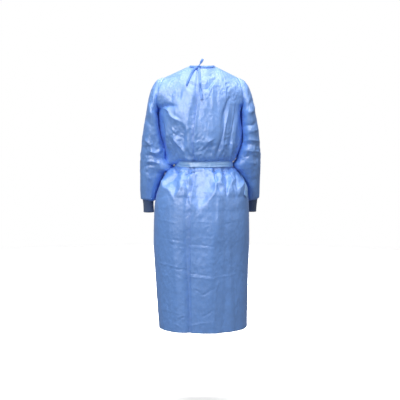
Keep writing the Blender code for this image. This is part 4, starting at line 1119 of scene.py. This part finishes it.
def rib_tree():
    """Raises ribs in the outer points of a tube: named inputs give their number and height."""
    inputs = {
        "Ribs": ("NodeSocketInt", 46),
        "Height": ("NodeSocketFloat", 0.0008),
        "Material": ("NodeSocketMaterial", None),
    }
    tree, entry, leave = new_tree("cuff_ribs", inputs)
    turn = named_attribute(tree, "turn", "FLOAT")
    outside = named_attribute(tree, "outside", "FLOAT")
    away = named_attribute(tree, "away", "FLOAT_VECTOR")
    angle = maths(tree, "MULTIPLY", maths(tree, "MULTIPLY", turn, entry["Ribs"]), math.pi)
    wave = maths(tree, "ABSOLUTE", maths(tree, "SINE", angle))
    raised = maths(tree, "MULTIPLY", maths(tree, "MULTIPLY", wave, entry["Height"]), outside)
    offset = node(tree, "ShaderNodeVectorMath", {0: away, "Scale": raised}, operation="SCALE")
    inputs = {"Geometry": entry["Geometry"], "Offset": offset.outputs[0]}
    return end_tree(tree, node(tree, "GeometryNodeSetPosition", inputs), entry, leave)


def stitch_tree():
    """Lays small stitches along a path. Each one follows the path and stands square to the cloth."""
    inputs = {
        "Spacing": ("NodeSocketFloat", 0.0038),
        "Thread width": ("NodeSocketFloat", 0.0005),
        "Material": ("NodeSocketMaterial", None),
    }
    tree, entry, leave = new_tree("seam_stitches", inputs)
    path = node(tree, "GeometryNodeMeshToCurve", {"Mesh": entry["Geometry"]})
    inputs = {"Curve": path.outputs[0], "Length": entry["Spacing"]}
    spaced = node(tree, "GeometryNodeResampleCurve", inputs, mode="LENGTH")
    along = node(tree, "GeometryNodeInputTangent")
    away = named_attribute(tree, "away", "FLOAT_VECTOR")
    upright = node(tree, "FunctionNodeAlignRotationToVector", {"Vector": away}, axis="Z")
    inputs = {"Rotation": upright.outputs[0], "Vector": along.outputs[0]}
    turned = node(tree, "FunctionNodeAlignRotationToVector", inputs, axis="X", pivot_axis="Z")
    inputs = {
        "Vertices": 5,
        "Side Segments": 1,
        "Fill Segments": 1,
        "Radius": entry["Thread width"],
        "Depth": maths(tree, "MULTIPLY", entry["Spacing"], 0.62),
    }
    thread = node(tree, "GeometryNodeMeshCylinder", inputs, fill_type="TRIANGLE_FAN")
    inputs = {"Geometry": thread.outputs[0], "Rotation": (0.0, math.pi / 2, 0.0), "Scale": (1.0, 0.5, 0.5)}
    lying = node(tree, "GeometryNodeTransform", inputs)
    inputs = {"Points": spaced.outputs[0], "Instance": lying.outputs[0], "Rotation": turned.outputs[0]}
    return end_tree(tree, node(tree, "GeometryNodeInstanceOnPoints", inputs), entry, leave)


def with_nodes(piece, tree, values):
    """Runs a node tree on a piece and leaves its result as a plain mesh under the same name."""
    modifier = piece.modifiers.new(tree.name, "NODES")
    modifier.node_group = tree
    sockets = {item.name: item.identifier for item in tree.interface.items_tree if item.in_out == "INPUT"}
    for name, value in values.items():
        modifier[sockets[name]] = value
    graph = bpy.context.evaluated_depsgraph_get()
    result = piece.evaluated_get(graph)
    mesh = bpy.data.meshes.new_from_object(result, preserve_all_data_layers=True, depsgraph=graph)
    name = piece.name
    bpy.data.objects.remove(piece)
    mesh.name = name
    return place(name, mesh)


# Panels


def fine_rows(step):
    return np.linspace(0.0, TOP, int(round(TOP / step)) + 1)


def lap_edge_across(rows):
    """Where across the right back's free edge lies in each row."""
    marks = np.linspace(0.0, TOP, 97)
    tries = np.linspace(-0.3, 0.1, 161)
    found = []
    for along in marks:
        points = plain_body(BACK, tries, np.full_like(tries, along))
        found.append(np.interp(0.0, points[:, 0] - read(LAP_EDGE, points[:, 2]), tries))
    return np.interp(rows, marks, np.array(found))


def sewn(points, normals, edges):
    """Pulls the cloth in along sewn edges, with small puckers that run square to the seam."""
    dip = sizes().seam_dip
    run = {axis: run_along(points, axis) for axis in (0, 1)}
    height = np.zeros(points.shape[:2])
    for edge in edges:
        axis = 0 if edge == "low" else 1
        away = run[axis] if edge in ("low", "first") else np.take(run[axis], [-1], axis=axis) - run[axis]
        pucker = flat_noise(waves, run[1 - axis], away * 0.4, 61, 3.0, (0.0085, 0.012, 1.0))
        height -= dip * hump(away, 0.0, 0.0035)
        height += PUCKER * pucker * hump(away, 0.0, 0.010) * ease(0.0, 0.0045, away)
        height += dip * 0.6 * hump(away, 0.0075, 0.0045)
    return points + normals * height[..., None]


class GOWN_OT_panels(Operator):
    """Makes the front and the two backs as thin cloth with their folds and creases"""

    bl_idname = "gown.make_panels"
    bl_label = "Front and backs"

    def execute(self, context):
        step = sizes().mesh_step
        rows = fine_rows(step)
        lap = lap_edge_across(rows)
        side = np.ones_like(lap)
        right = spread(lap, side, BACK_RIGHT_CELLS)
        shown = spread(-side, lap, BACK_LEFT_CELLS)[:, :-1]
        left = np.concatenate([shown, spread(lap, lap + LAP_ACROSS, LAP_CELLS)], axis=1)
        front_rows = fine_rows(step * FRONT_STEPS)
        front = np.tile(np.linspace(-1.0, 1.0, FRONT_CELLS + 1), (len(front_rows), 1))
        self.make("front_panel", FRONT, front_rows, front, ("first", "last"))
        self.make("back_right", BACK, rows, right, ("last",))
        self.make("back_left", BACK, rows, left, ("first",))
        return {"FINISHED"}

    def make(self, name, face, rows, across, edges):
        points, normals = dressed(face, across.ravel(), np.repeat(rows, across.shape[1]))
        points = points.reshape(across.shape + (3,))
        normals = normals.reshape(across.shape + (3,))
        away = across - lap_edge_across(rows)[:, None]
        if name == "back_left":
            dip = LAP_DEPTH * ease(-0.10, -0.02, away)
            points = points - normals * dip[..., None]
        if name == "back_right":
            # The free edge lifts a little
            lift = LAP_LIFT * hump(away, 0.0, LAP_LIFT_ACROSS) * near_belt(points[..., 2])
            points = points + normals * lift[..., None]
        points = sewn(points, normals, edges)
        sign = -face
        piece = wall(name + "_cloth", points, grid_normals(points, sign), sizes().cloth_thickness, sign)
        finish_piece(piece, "nonwoven_blue", [name])


class GOWN_OT_sleeves(Operator):
    """Makes the two sleeves, bunched at the elbows"""

    bl_idname = "gown.make_sleeves"
    bl_label = "Sleeves"

    def execute(self, context):
        for side in (RIGHT, LEFT):
            self.make(side)
        return {"FINISHED"}

    def armhole(self, side, turn):
        """The armhole as one loop: shoulder tip, down the back to the armpit and up the front."""
        across = np.full_like(turn, float(side))
        height = TOP - ALONG[ARMPIT]
        down = TOP - height * np.clip(turn * 2, 0, 1)
        up = ALONG[ARMPIT] + height * np.clip(turn * 2 - 1, 0, 1)
        halves = []
        for face, along in ((BACK, down), (FRONT, up)):
            edge = plain_body(face, across, along)
            halves.append(edge + armhole_push(face, across, edge[:, 2], 1.0))
        return np.where(turn[:, None] <= 0.5, *halves)

    def ring(self, ring, side, turn):
        middle = np.array([(ring.out_x + ring.in_x) / 2 * side, ring.y, (ring.out_z + ring.in_z) / 2])
        reach = np.array([(ring.out_x - ring.in_x) / 2 * side, 0.0, (ring.out_z - ring.in_z) / 2])
        back = np.array([0.0, -ring.half, 0.0])
        angle = turn[:, None] * math.tau
        return middle + np.cos(angle) * reach + np.sin(angle) * back

    def creases(self, side, flat):
        """The sleeve's folds, which slant as they run round it, and its crumples."""
        x, depth, z = flat.T
        bend = 0.30 * np.clip(depth + 0.03, 0.0, None) + 0.006 * waves(flat, (0.03, 0.03, 0.03), 65)
        behind = fold_height(SLEEVE_FOLDS[side], x, z + bend)
        before = 0.8 * fold_height(SLEEVE_FOLDS[side], x + 0.012 * side, z - 0.017 - bend)
        share = ease(-0.015, 0.030, depth)
        weakest = 0.40 if side == RIGHT else 0.55
        strength = weakest + 0.65 * ease(-0.4, 0.5, waves(flat, (0.045, 0.028, 0.05), 67))
        height = (behind * (1 - share) + before * share) * np.where(depth > -0.03, strength, 1.0)
        slack = 0.55 + 0.9 * hump(z, ELBOW_Z, ELBOW_REACH)
        crumple = papery(flat, (0.050, 0.050, 0.060), 71 + side)
        crumple = crumple + papery(flat, (0.020, 0.020, 0.022), 83) * 1.1
        return height + sizes().crumple * slack * crumple

    def make(self, side):
        size = sizes()
        turn = np.arange(SLEEVE_POINTS) / SLEEVE_POINTS
        angle = turn * math.tau
        rings = np.stack([self.armhole(side, turn), *(self.ring(ring, side, turn) for ring in SLEEVES[side])])
        steps = np.linalg.norm(np.diff(rings, axis=0), axis=-1).mean(axis=1)
        knots = np.concatenate([[0.0], np.cumsum(steps)])
        rows = np.linspace(0.0, knots[-1], int(round(knots[-1] / size.mesh_step)) + 1)
        points = np.stack([smooth(knots, rings, np.full(len(turn), row)) for row in rows])
        normals = grid_normals(points, side, closed=True)
        creases = self.creases(side, points.reshape(-1, 3)).reshape(points.shape[:2])
        fade = within((0.0, 0.03), (knots[-5], knots[-2]), rows)[:, None]
        # Gathers into the cuff
        around = (np.cos(angle) * 2.6, np.sin(angle) * 2.6)
        ripple = np.abs(flat_noise(waves, *around, 91)) - 0.3
        into_cuff = within((knots[-6], knots[-3]), (knots[-2], knots[-1]), rows)[:, None]
        lean = ease(0.1, 0.8, -np.cos(angle)) * read(SLEEVE_SLACK[side], points[..., 2])
        lean *= ease(0.0, 0.012, rows)[:, None]
        height = creases * fade + CUFF_GATHER * ripple * into_cuff
        points = sewn(points + normals * (height + lean)[..., None], normals, ("low",))
        own = grid_normals(points, side, closed=True)
        name = "sleeve_" + SIDE_NAMES[side]
        piece = wall(name + "_cloth", points, own, size.cloth_thickness, side, closed=True)
        finish_piece(piece, "nonwoven_blue", [name])


class GOWN_OT_cuffs(Operator):
    """Makes the two rib-knit cuffs with Geometry Nodes that raise the ribs"""

    bl_idname = "gown.make_cuffs"
    bl_label = "Cuffs"

    def execute(self, context):
        tree = rib_tree()
        for side in (RIGHT, LEFT):
            self.make(side, tree)
        return {"FINISHED"}

    def make(self, side, tree):
        size = sizes()
        wrist = SLEEVES[side][-1]
        top_z = (wrist.out_z + wrist.in_z) / 2
        slant = wrist.out_z - wrist.in_z
        downs, *measures = np.array(CUFFS[side]).T
        length = downs[-1]
        turn = np.arange(CUFF_POINTS) / CUFF_POINTS
        angle = turn * math.tau
        rows = []
        for down in np.linspace(-CUFF_UNDER_SLEEVE, length, CUFF_ROWS):
            x, y, half_x, half_y = (np.interp(down, downs, values) for values in measures)
            level = slant * (1 - down / length) / 2
            waist = 1 - CUFF_WAIST * math.sin(math.pi * np.clip(down / length, 0, 1))
            row_x = side * (x + half_x * waist * np.cos(angle))
            row_y = y - half_y * waist * np.sin(angle)
            rows.append(stacked(row_x, row_y, top_z - down + level * np.cos(angle)))
        points = np.stack(rows)
        normals = grid_normals(points, side, closed=True)
        name = "cuff_" + SIDE_NAMES[side]
        piece = wall(name + "_knit", points, normals, CUFF_THICKNESS, side, closed=True)
        count = CUFF_POINTS * CUFF_ROWS
        store_attribute(piece, "turn", "FLOAT", np.tile(turn, CUFF_ROWS * 2))
        store_attribute(piece, "outside", "FLOAT", np.repeat([1.0, 0.0], count))
        store_attribute(piece, "away", "FLOAT_VECTOR", np.tile(normals.reshape(-1, 3), (2, 1)))
        material = material_for("rib_knit_navy")
        inputs = {"Ribs": size.cuff_ribs, "Height": size.cuff_rib_height, "Material": material}
        piece = with_nodes(piece, tree, inputs)
        finish_piece(piece, "rib_knit_navy", [name])


# Tapes


def tape(name, centre, normals, sides, width, seed):
    """A flat folded tape along a line: two soft edges, a crease along it and small crosswise wrinkles."""
    thickness = sizes().tape_thickness
    share = np.linspace(-1.0, 1.0, TAPE_POINTS)
    length = run_along(centre[:, None], 0)
    grid = centre[:, None] + sides[:, None] * (share[:, None] * width / 2)
    wrinkle = flat_noise(papery, length / 0.02, share * 0.8, seed, float(seed)) * TAPE_WRINKLE
    arch = TAPE_ARCH * (1 - share**2) - TAPE_CREASE * hump(share, 0.35, 0.16)
    outer = grid + normals[:, None] * (arch + wrinkle + thickness)[..., None]
    return wall(name, outer, np.broadcast_to(normals[:, None], outer.shape), thickness, 1)


def smooth_line(rows, count):
    values = np.array(rows)
    knots = np.linspace(0.0, 1.0, len(values))
    steps = np.linspace(0.0, 1.0, count)
    return stacked(*(smooth(knots, column, steps) for column in values.T))


def place_on_back(x, z):
    """Where across and along the back lies the point that is seen at x and z."""
    across = x / 0.2
    along = np.interp(z, [-0.2, 0.0], [ALONG[ARMPIT], TOP])
    for _ in range(30):
        here = plain_body(BACK, across, along)
        beside = (plain_body(BACK, across + TINY, along) - here) / TINY
        below = (here - plain_body(BACK, across, along - TINY)) / TINY
        want_x, want_z = x - here[:, 0], z - here[:, 2]
        size = beside[:, 0] * below[:, 2] - beside[:, 2] * below[:, 0]
        change = (want_x * below[:, 2] - want_z * below[:, 0]) / size
        along_change = (beside[:, 0] * want_z - beside[:, 2] * want_x) / size
        across = np.clip(across + np.clip(change, -0.05, 0.05), -0.99, 0.99)
        along = np.clip(along + np.clip(along_change, -0.05, 0.05), 0.0, TOP - TINY)
    return across, along


def place_round(degrees, z):
    """Face, across and along of a place below the armpits, from its degrees round the body and height."""
    face = np.where(degrees <= 90, BACK, FRONT)
    across = np.where(degrees <= 90, degrees / 90, (180 - degrees) / 90)
    tries = np.linspace(0.0, ALONG[ARMPIT], 801)
    heights = plain_body(FRONT, np.zeros_like(tries), tries)[:, 2]
    return face, across, np.interp(z, heights, tries)


def dressed_round(degrees, z):
    """Points and outward directions of the dressed body, from the degrees round it and the height."""
    face, across, along = place_round(degrees, z)
    points, normals = np.zeros((len(across), 3)), np.zeros((len(across), 3))
    for side in (BACK, FRONT):
        mine = face == side
        if mine.any():
            points[mine], normals[mine] = dressed(side, across[mine], along[mine])
    return points, normals


def knot_mesh(name, middle, radii, degrees):
    """A small knot of folded tape: a tight band round a bundle of pleats."""
    rows, columns = 25, 40
    lift = np.linspace(-0.5, 0.5, rows)[:, None] * math.pi
    turn = (np.arange(columns) / columns * math.tau)[None, :]
    x = np.cos(lift) * np.cos(turn)
    y = np.cos(lift) * np.sin(turn)
    z = np.sin(lift) * np.ones_like(turn)
    pleats = papery(stacked(x, y, z).reshape(-1, 3) * [2.6, 2.6, 1.4], EVEN, 101).reshape(x.shape)
    band = hump(x, 0.0, 0.42)
    groove = hump(np.abs(x), 0.5, 0.12)
    scale = 0.86 + 0.12 * band - 0.10 * groove + 0.10 * pleats * (1 - 0.6 * band)
    x, y, z = (value * scale * radius for value, radius in zip((x, y, z), radii))
    cos, sin = math.cos(math.radians(degrees)), math.sin(math.radians(degrees))
    points = stacked(middle[0] + x * cos - y * sin, middle[1] + x * sin + y * cos, middle[2] + z)
    bottom, top = points[0].mean(axis=0), points[-1].mean(axis=0)
    vertices = [bottom.tolist(), *points[1:-1].reshape(-1, 3).tolist(), top.tolist()]
    faces = []
    last = len(vertices) - 1
    for column in range(columns):
        after = (column + 1) % columns
        faces.append((0, 1 + after, 1 + column))
        faces.append((last, last - columns + column, last - columns + after))
        for row in range(rows - 3):
            a, b = 1 + row * columns + column, 1 + row * columns + after
            faces.append((a, b, b + columns, a + columns))
    mesh = bpy.data.meshes.new(name)
    mesh.from_pydata(vertices, [], faces)
    mesh.uv_layers.new(name="cloth")
    corners = np.zeros(len(mesh.loops), int)
    mesh.loops.foreach_get("vertex_index", corners)
    placed = np.array(vertices)[corners]
    mesh.uv_layers[0].data.foreach_set("uv", (placed[:, [0, 2]] + placed[:, [1, 1]]).ravel())
    mesh.shade_smooth()
    return place(name, mesh)


class GOWN_OT_ties(Operator):
    """Makes the neck tie's ends, its knot and loop, and the belt's knot and ends"""

    bl_idname = "gown.make_ties"
    bl_label = "Ties and knots"

    def execute(self, context):
        self.make_tie()
        self.make_loop()
        self.make_belt_ends()
        return {"FINISHED"}

    def make_tie(self):
        width = sizes().tie_width
        knot = knot_mesh("neck_knot_folds", NECK_KNOT, NECK_KNOT_RADII, 0.0)
        finish_piece(knot, "tape_blue", ["neck_knot"])
        for number, (name, steps) in enumerate(NECK_TIES.items()):
            x, z, lift = smooth_line(steps, 60).T
            across, along = place_on_back(x, z)
            points, normals = dressed(BACK, across, along)
            lift = lift + self.clearance(across, along, points, normals, width)
            twist = np.radians(read(TWISTS[name], np.linspace(0.0, 1.0, len(lift))))[:, None]
            centre = points + normals * (lift[:, None] + np.abs(np.sin(twist)) * width / 2)
            centre = ironed(centre, 6)
            flat = unit(np.cross(unit(np.gradient(centre, axis=0)), normals))
            sides = flat * np.cos(twist) + normals * np.sin(twist)
            normals = normals * np.cos(twist) - flat * np.sin(twist)
            piece = tape(name + "_tape", centre, normals, sides, width, 5 + number)
            finish_piece(piece, "tape_blue", [name])
            flat = (exact(width), line_length(centre))

    def clearance(self, across, along, points, normals, width):
        """How much higher than its middle line the cloth is under a tape's edges."""
        own = ((points - plain_body(BACK, across, along)) * normals).sum(axis=-1)
        highest = np.zeros(len(across))
        for shift in (-0.5, -0.25, 0.25, 0.5):
            beside = np.clip(across + shift * width / 0.16, -0.999, 0.999)
            other, _ = dressed(BACK, beside, along)
            rise = ((other - plain_body(BACK, beside, along)) * normals).sum(axis=-1)
            highest = np.maximum(highest, rise - own)
        return np.convolve(np.pad(highest, 3, mode="edge"), np.ones(7) / 7, mode="valid")

    def make_loop(self):
        size = sizes()
        turn = np.linspace(0.055, 0.945, 70) * math.tau
        reach = size.loop_length * np.sin(turn / 2)
        aside = LOOP_HALF_WIDTH * np.sin(turn) * np.sin(turn / 2)
        out = unit(np.array([NECK_LOOP_LEAN, 0.10, 1.0]))
        across = np.array([0.0, 1.0, 0.0])
        centre = np.array(NECK_KNOT) + reach[:, None] * out + aside[:, None] * across
        run = unit(np.gradient(centre, axis=0))
        wide = unit(np.cross(out, across))
        up = unit(np.cross(np.broadcast_to(wide, run.shape), run))
        sides = unit(np.cross(run, up))
        # The loop narrows where the knot grips it
        grip = 0.45 + 0.55 * ease(0.05, 0.35, np.sin(turn / 2) ** 2)
        share = np.linspace(-1.0, 1.0, TAPE_POINTS)
        spans = sides[:, None] * (share[:, None] * size.tie_width / 2)
        grid = centre[:, None] + spans * grip[:, None, None]
        arch = LOOP_ARCH * (1 - share**2)
        outer = grid + up[:, None] * (arch + size.tape_thickness)[..., None]
        own = np.broadcast_to(up[:, None], outer.shape)
        piece = wall("neck_loop_tape", outer, own, size.tape_thickness, 1)
        finish_piece(piece, "tape_blue", ["neck_loop"])

    def make_belt_ends(self):
        width = sizes().belt_width
        point, normal = dressed_round(np.array([BELT_KNOT_DEGREES]), np.array([BODY[BELT_MIDDLE].z]))
        # The knot lies just off the belt
        off_body = BELT_SOLID_OFF + BELT_SOLID_WALL + PIECE_GAP
        middle = point[0] + normal[0] * (off_body + BELT_KNOT_RADII[0])
        knot = knot_mesh("belt_knot_folds", middle, BELT_KNOT_RADII, BELT_KNOT_DEGREES - 90)
        finish_piece(knot, "tape_blue", ["belt_knot"])
        for number, (name, turns) in enumerate(BELT_ENDS.items()):
            degrees, z, lift = smooth_line(turns, 90).T
            points, normals = dressed_round(degrees, z)
            centre = ironed(points + normals * (lift + BELT_END_OFF)[:, None], 6)
            sides = unit(np.cross(unit(np.gradient(centre, axis=0)), normals))
            piece = tape(name + "_tape", centre, normals, sides, width, 15 + number)
            finish_piece(piece, "tape_blue", [name], "belt_blue")


class GOWN_OT_belt(Operator):
    """Makes the belt round the waist and the binding round the neck"""

    bl_idname = "gown.make_belt"
    bl_label = "Belt and neck binding"

    def execute(self, context):
        self.make_belt()
        self.make_binding()
        return {"FINISHED"}

    def make_belt(self):
        """The belt follows the body's rows under it, moved out, with creases that run along it."""
        back = np.linspace(-1.0, 1.0, BELT_BACK_POINTS + 1)[:-1]
        front = np.linspace(1.0, -1.0, BELT_FRONT_POINTS + 1)[:-1]
        rows = []
        for along in np.linspace(ALONG[BELT_LOW], ALONG[BELT_HIGH], BELT_ROWS):
            behind = plain_body(BACK, back, np.full_like(back, along))
            before = plain_body(FRONT, front, np.full_like(front, along))
            rows.append(np.concatenate([behind, before]))
        points = np.stack(rows)
        normals = grid_normals(points, 1, closed=True)
        normals[..., 2] = 0.0
        normals = unit(normals)
        length = run_along(np.concatenate([points, points[:, :1]], axis=1), 1)[0, :-1]
        share = np.linspace(0.0, 1.0, BELT_ROWS)[:, None]
        middle = points[BELT_ROWS // 2]
        # One long crease wanders along the belt, and a second one below it
        line = 0.52 + 0.16 * np.sin(length / 0.052) * np.cos(length / 0.117)
        crease = np.exp(-np.abs(share - line) / 0.09)
        second = np.exp(-np.abs(share - (0.24 + 0.10 * np.sin(length / 0.033))) / 0.07)
        wrinkle = flat_noise(papery, length / 0.018, share * 1.2, 121)
        height = BELT_OFF + BELT_CREASE * crease - BELT_SECOND_CREASE * second + BELT_WRINKLE * wrinkle
        height = height + BELT_ROLL * (1 - ease(0.25, 1.0, share)) * ease(0.0, 0.16, share)
        # On the left of the back its lower half is tucked under
        tucked = np.where(middle[:, 1] < 0, 1 - ease(-0.055, -0.040, middle[:, 0]), 0.0)
        height = height - tucked * BELT_TUCK * (1 - ease(0.30, 0.42, share))
        outer = points + normals * height[..., None]
        piece = wall("waist_belt_tape", outer, normals, TAPE_WALL, 1, closed=True)
        finish_piece(piece, "tape_blue", ["waist_belt"], "belt_blue")

    def make_binding(self):
        """A tape over the neck edge: the body's own points, moved out, from lap edge to lap edge."""
        width = sizes().binding_width
        share = np.linspace(0.0, 1.0, BINDING_POINTS)
        lap = float(lap_edge_across(np.array([TOP]))[0])
        parts = (
            (BACK, np.linspace(lap, NECK_ACROSS, 44)),
            (FRONT, np.linspace(NECK_ACROSS, -NECK_ACROSS, 90)),
            (BACK, np.linspace(-NECK_ACROSS, lap, 38)),
        )
        flat, normal = [], []
        for face, across in parts:
            edge = plain_body(face, across, np.full_like(across, TOP))
            low = plain_body(face, across, np.full_like(across, TOP - width))
            flat.append(edge[:, None] + unit(low - edge)[:, None] * (share[None, :, None] * width))
            normal.append(facing(face, across, np.full_like(across, TOP - width / 2)))
        flat, normal = np.concatenate(flat), np.concatenate(normal)
        for _ in range(4):
            flat = ironed(flat, 1)
            normal = unit(ironed(normal, 1))
        pucker = flat_noise(waves, run_along(flat[:, :1], 0) / 0.012, share, 131) * BINDING_PUCKER
        height = BINDING_OFF + BINDING_ARCH * np.sin(np.pi * share) + pucker
        outer = flat + normal[:, None] * height[..., None]
        # Columns run from the lower edge up, so that the wall faces outwards
        outer = np.swapaxes(outer[:, ::-1], 0, 1)
        own = np.broadcast_to(normal[None], outer.shape)
        piece = wall("neck_binding_tape", outer, own, TAPE_WALL, 1)
        finish_piece(piece, "tape_blue", ["neck_binding"])
        flat = (exact(width), float(run_along(outer, 1)[-1, -1]))


class GOWN_OT_stitches(Operator):
    """Sews the side seams and the armholes with Geometry Nodes stitches"""

    bl_idname = "gown.make_stitches"
    bl_label = "Stitches"

    def execute(self, context):
        # Side seams beside the edge of the back, and the armholes on the back and on the front
        side_seam = np.linspace(0.004, ALONG[ARMPIT] - 0.004, 420)
        armhole = np.linspace(ALONG[ARMPIT] + 0.002, TOP - 0.006, 90)
        seams = ((BACK, 0.986, side_seam), (BACK, 0.972, armhole), (FRONT, 0.972, armhole))
        tree = stitch_tree()
        made = []
        for side, (face, across, along) in itertools.product((RIGHT, LEFT), seams):
            points, normals = dressed(face, np.full_like(along, side * across), along)
            made.append(self.sew(f"stitches_{len(made)}", points - normals * STITCH_SINK, normals, tree))
        joined = self.joined("seam_stitches", [piece.data for piece in made])
        for piece in made:
            bpy.data.objects.remove(piece)
        finish_piece(joined, "nonwoven_blue", [], "thread_blue")
        return {"FINISHED"}

    def sew(self, name, points, away, tree):
        size = sizes()
        mesh = bpy.data.meshes.new(name)
        mesh.from_pydata(points.tolist(), list(itertools.pairwise(range(len(points)))), [])
        piece = place(name, mesh)
        store_attribute(piece, "away", "FLOAT_VECTOR", away)
        material = material_for("thread_blue")
        inputs = {"Spacing": size.stitch_length, "Thread width": size.stitch_width, "Material": material}
        return with_nodes(piece, tree, inputs)

    def joined(self, name, meshes):
        points, faces, first = [], [], 0
        for mesh in meshes:
            found = np.zeros(len(mesh.vertices) * 3)
            mesh.vertices.foreach_get("co", found)
            points.append(found.reshape(-1, 3))
            faces += [[first + corner for corner in polygon.vertices] for polygon in mesh.polygons]
            first += len(mesh.vertices)
        mesh = bpy.data.meshes.new(name)
        mesh.from_pydata(np.concatenate(points).tolist(), [], faces)
        mesh.shade_smooth()
        return place(name, mesh)


class GOWN_OT_stage(Operator):
    """Sets the floor, the lights, and the camera behind the gown"""

    bl_idname = "gown.make_stage"
    bl_label = "Stage"

    def execute(self, context):
        self.make_floor()
        self.make_world()
        self.make_lights()
        self.make_camera()
        context.scene.view_settings.view_transform = "Standard"
        return {"FINISHED"}

    def make_floor(self):
        mesh = bpy.data.meshes.new("studio_floor")
        turn = np.arange(FLOOR_POINTS) / FLOOR_POINTS * math.tau
        x, y = np.cos(turn) * FLOOR_RADIUS, np.sin(turn) * FLOOR_RADIUS
        ring = stacked(x, y, np.full_like(turn, FLOOR_Z))
        mesh.from_pydata(ring.tolist(), [], [list(range(FLOOR_POINTS))])
        floor = place("studio_floor", mesh)
        pale = ((0.87, 0.87, 0.87), (0.90, 0.90, 0.90))
        mesh.materials.append(plain_material("floor_white", (0.88, 0.88, 0.88), 0.6, 0.0, (3.0, 4.0), pale))
        # The floor is seen, but throws no light up under the gown
        floor.visible_diffuse = False
        floor.visible_glossy = False

    def make_world(self):
        """A soft white studio: brightest overhead, dimmer to the sides and below, and white to the camera."""
        world = bpy.data.worlds.new("studio_world")
        bpy.context.scene.world = world
        world.use_nodes = True
        tree = world.node_tree
        direction = node(tree, "ShaderNodeTexCoord").outputs["Generated"]
        height = node(tree, "ShaderNodeSeparateXYZ", {0: direction}).outputs["Z"]
        light = curve_node(tree, height, 0.25, 0.95, 0.17, 1.10)
        background = tree.nodes["Background"]
        fill(tree, background, {"Strength": light, "Color": WHITE})
        plain = node(tree, "ShaderNodeBackground", {"Color": WHITE, "Strength": 1.0})
        seen = node(tree, "ShaderNodeLightPath").outputs["Is Camera Ray"]
        inputs = {"Fac": seen, 1: background.outputs[0], 2: plain.outputs[0]}
        mix = node(tree, "ShaderNodeMixShader", inputs)
        fill(tree, tree.nodes["World Output"], {"Surface": mix.outputs[0]})

    def make_lights(self):
        for light in LIGHTS:
            data = bpy.data.lights.new(light.name, "AREA")
            data.size = light.size
            data.energy = light.power
            data.spread = math.radians(light.spread)
            made = place(light.name, data)
            made.location = light.place
            made.rotation_euler = self.look_rotation(light.place, light.aim)

    def look_rotation(self, place_at, aim):
        way = np.array(aim) - np.array(place_at)
        flat = math.hypot(way[0], way[1])
        return (math.atan2(flat, -way[2]), 0.0, math.atan2(way[1], way[0]) - math.pi / 2)

    def make_camera(self):
        data = bpy.data.cameras.new("camera")
        data.lens = CAMERA_LENS
        data.sensor_width = 36.0
        camera = place("camera", data)
        camera.location = CAMERA_PLACE
        camera.rotation_euler = (math.radians(90 - CAMERA_DOWN), 0.0, 0.0)
        bpy.context.scene.camera = camera


class GOWN_PT_panel(Panel):
    """Lists the gown's sizes and the steps that make it"""

    bl_label = "Isolation gown"
    bl_idname = "GOWN_PT_panel"
    bl_space_type = "VIEW_3D"
    bl_region_type = "UI"
    bl_category = "Gown"

    def draw(self, context):
        for name in GownSizes.__annotations__:
            self.layout.prop(context.scene.gown_sizes, name)
        for step in STEPS:
            self.layout.operator(step.bl_idname)


STEPS = (
    GOWN_OT_panels,
    GOWN_OT_sleeves,
    GOWN_OT_cuffs,
    GOWN_OT_belt,
    GOWN_OT_ties,
    GOWN_OT_stitches,
    GOWN_OT_stage,
)


def register():
    for item in (GownSizes, *STEPS, GOWN_PT_panel):
        bpy.utils.register_class(item)
    bpy.types.Scene.gown_sizes = PointerProperty(type=GownSizes)


def unregister():
    del bpy.types.Scene.gown_sizes
    for item in (GOWN_PT_panel, *reversed(STEPS), GownSizes):
        bpy.utils.unregister_class(item)


def main():
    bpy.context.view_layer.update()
    register()
    bpy.ops.gown.make_panels()
    bpy.ops.gown.make_sleeves()
    bpy.ops.gown.make_cuffs()
    bpy.ops.gown.make_belt()
    bpy.ops.gown.make_ties()
    bpy.ops.gown.make_stitches()
    bpy.ops.gown.make_stage()


if __name__ == "__main__":
    main()
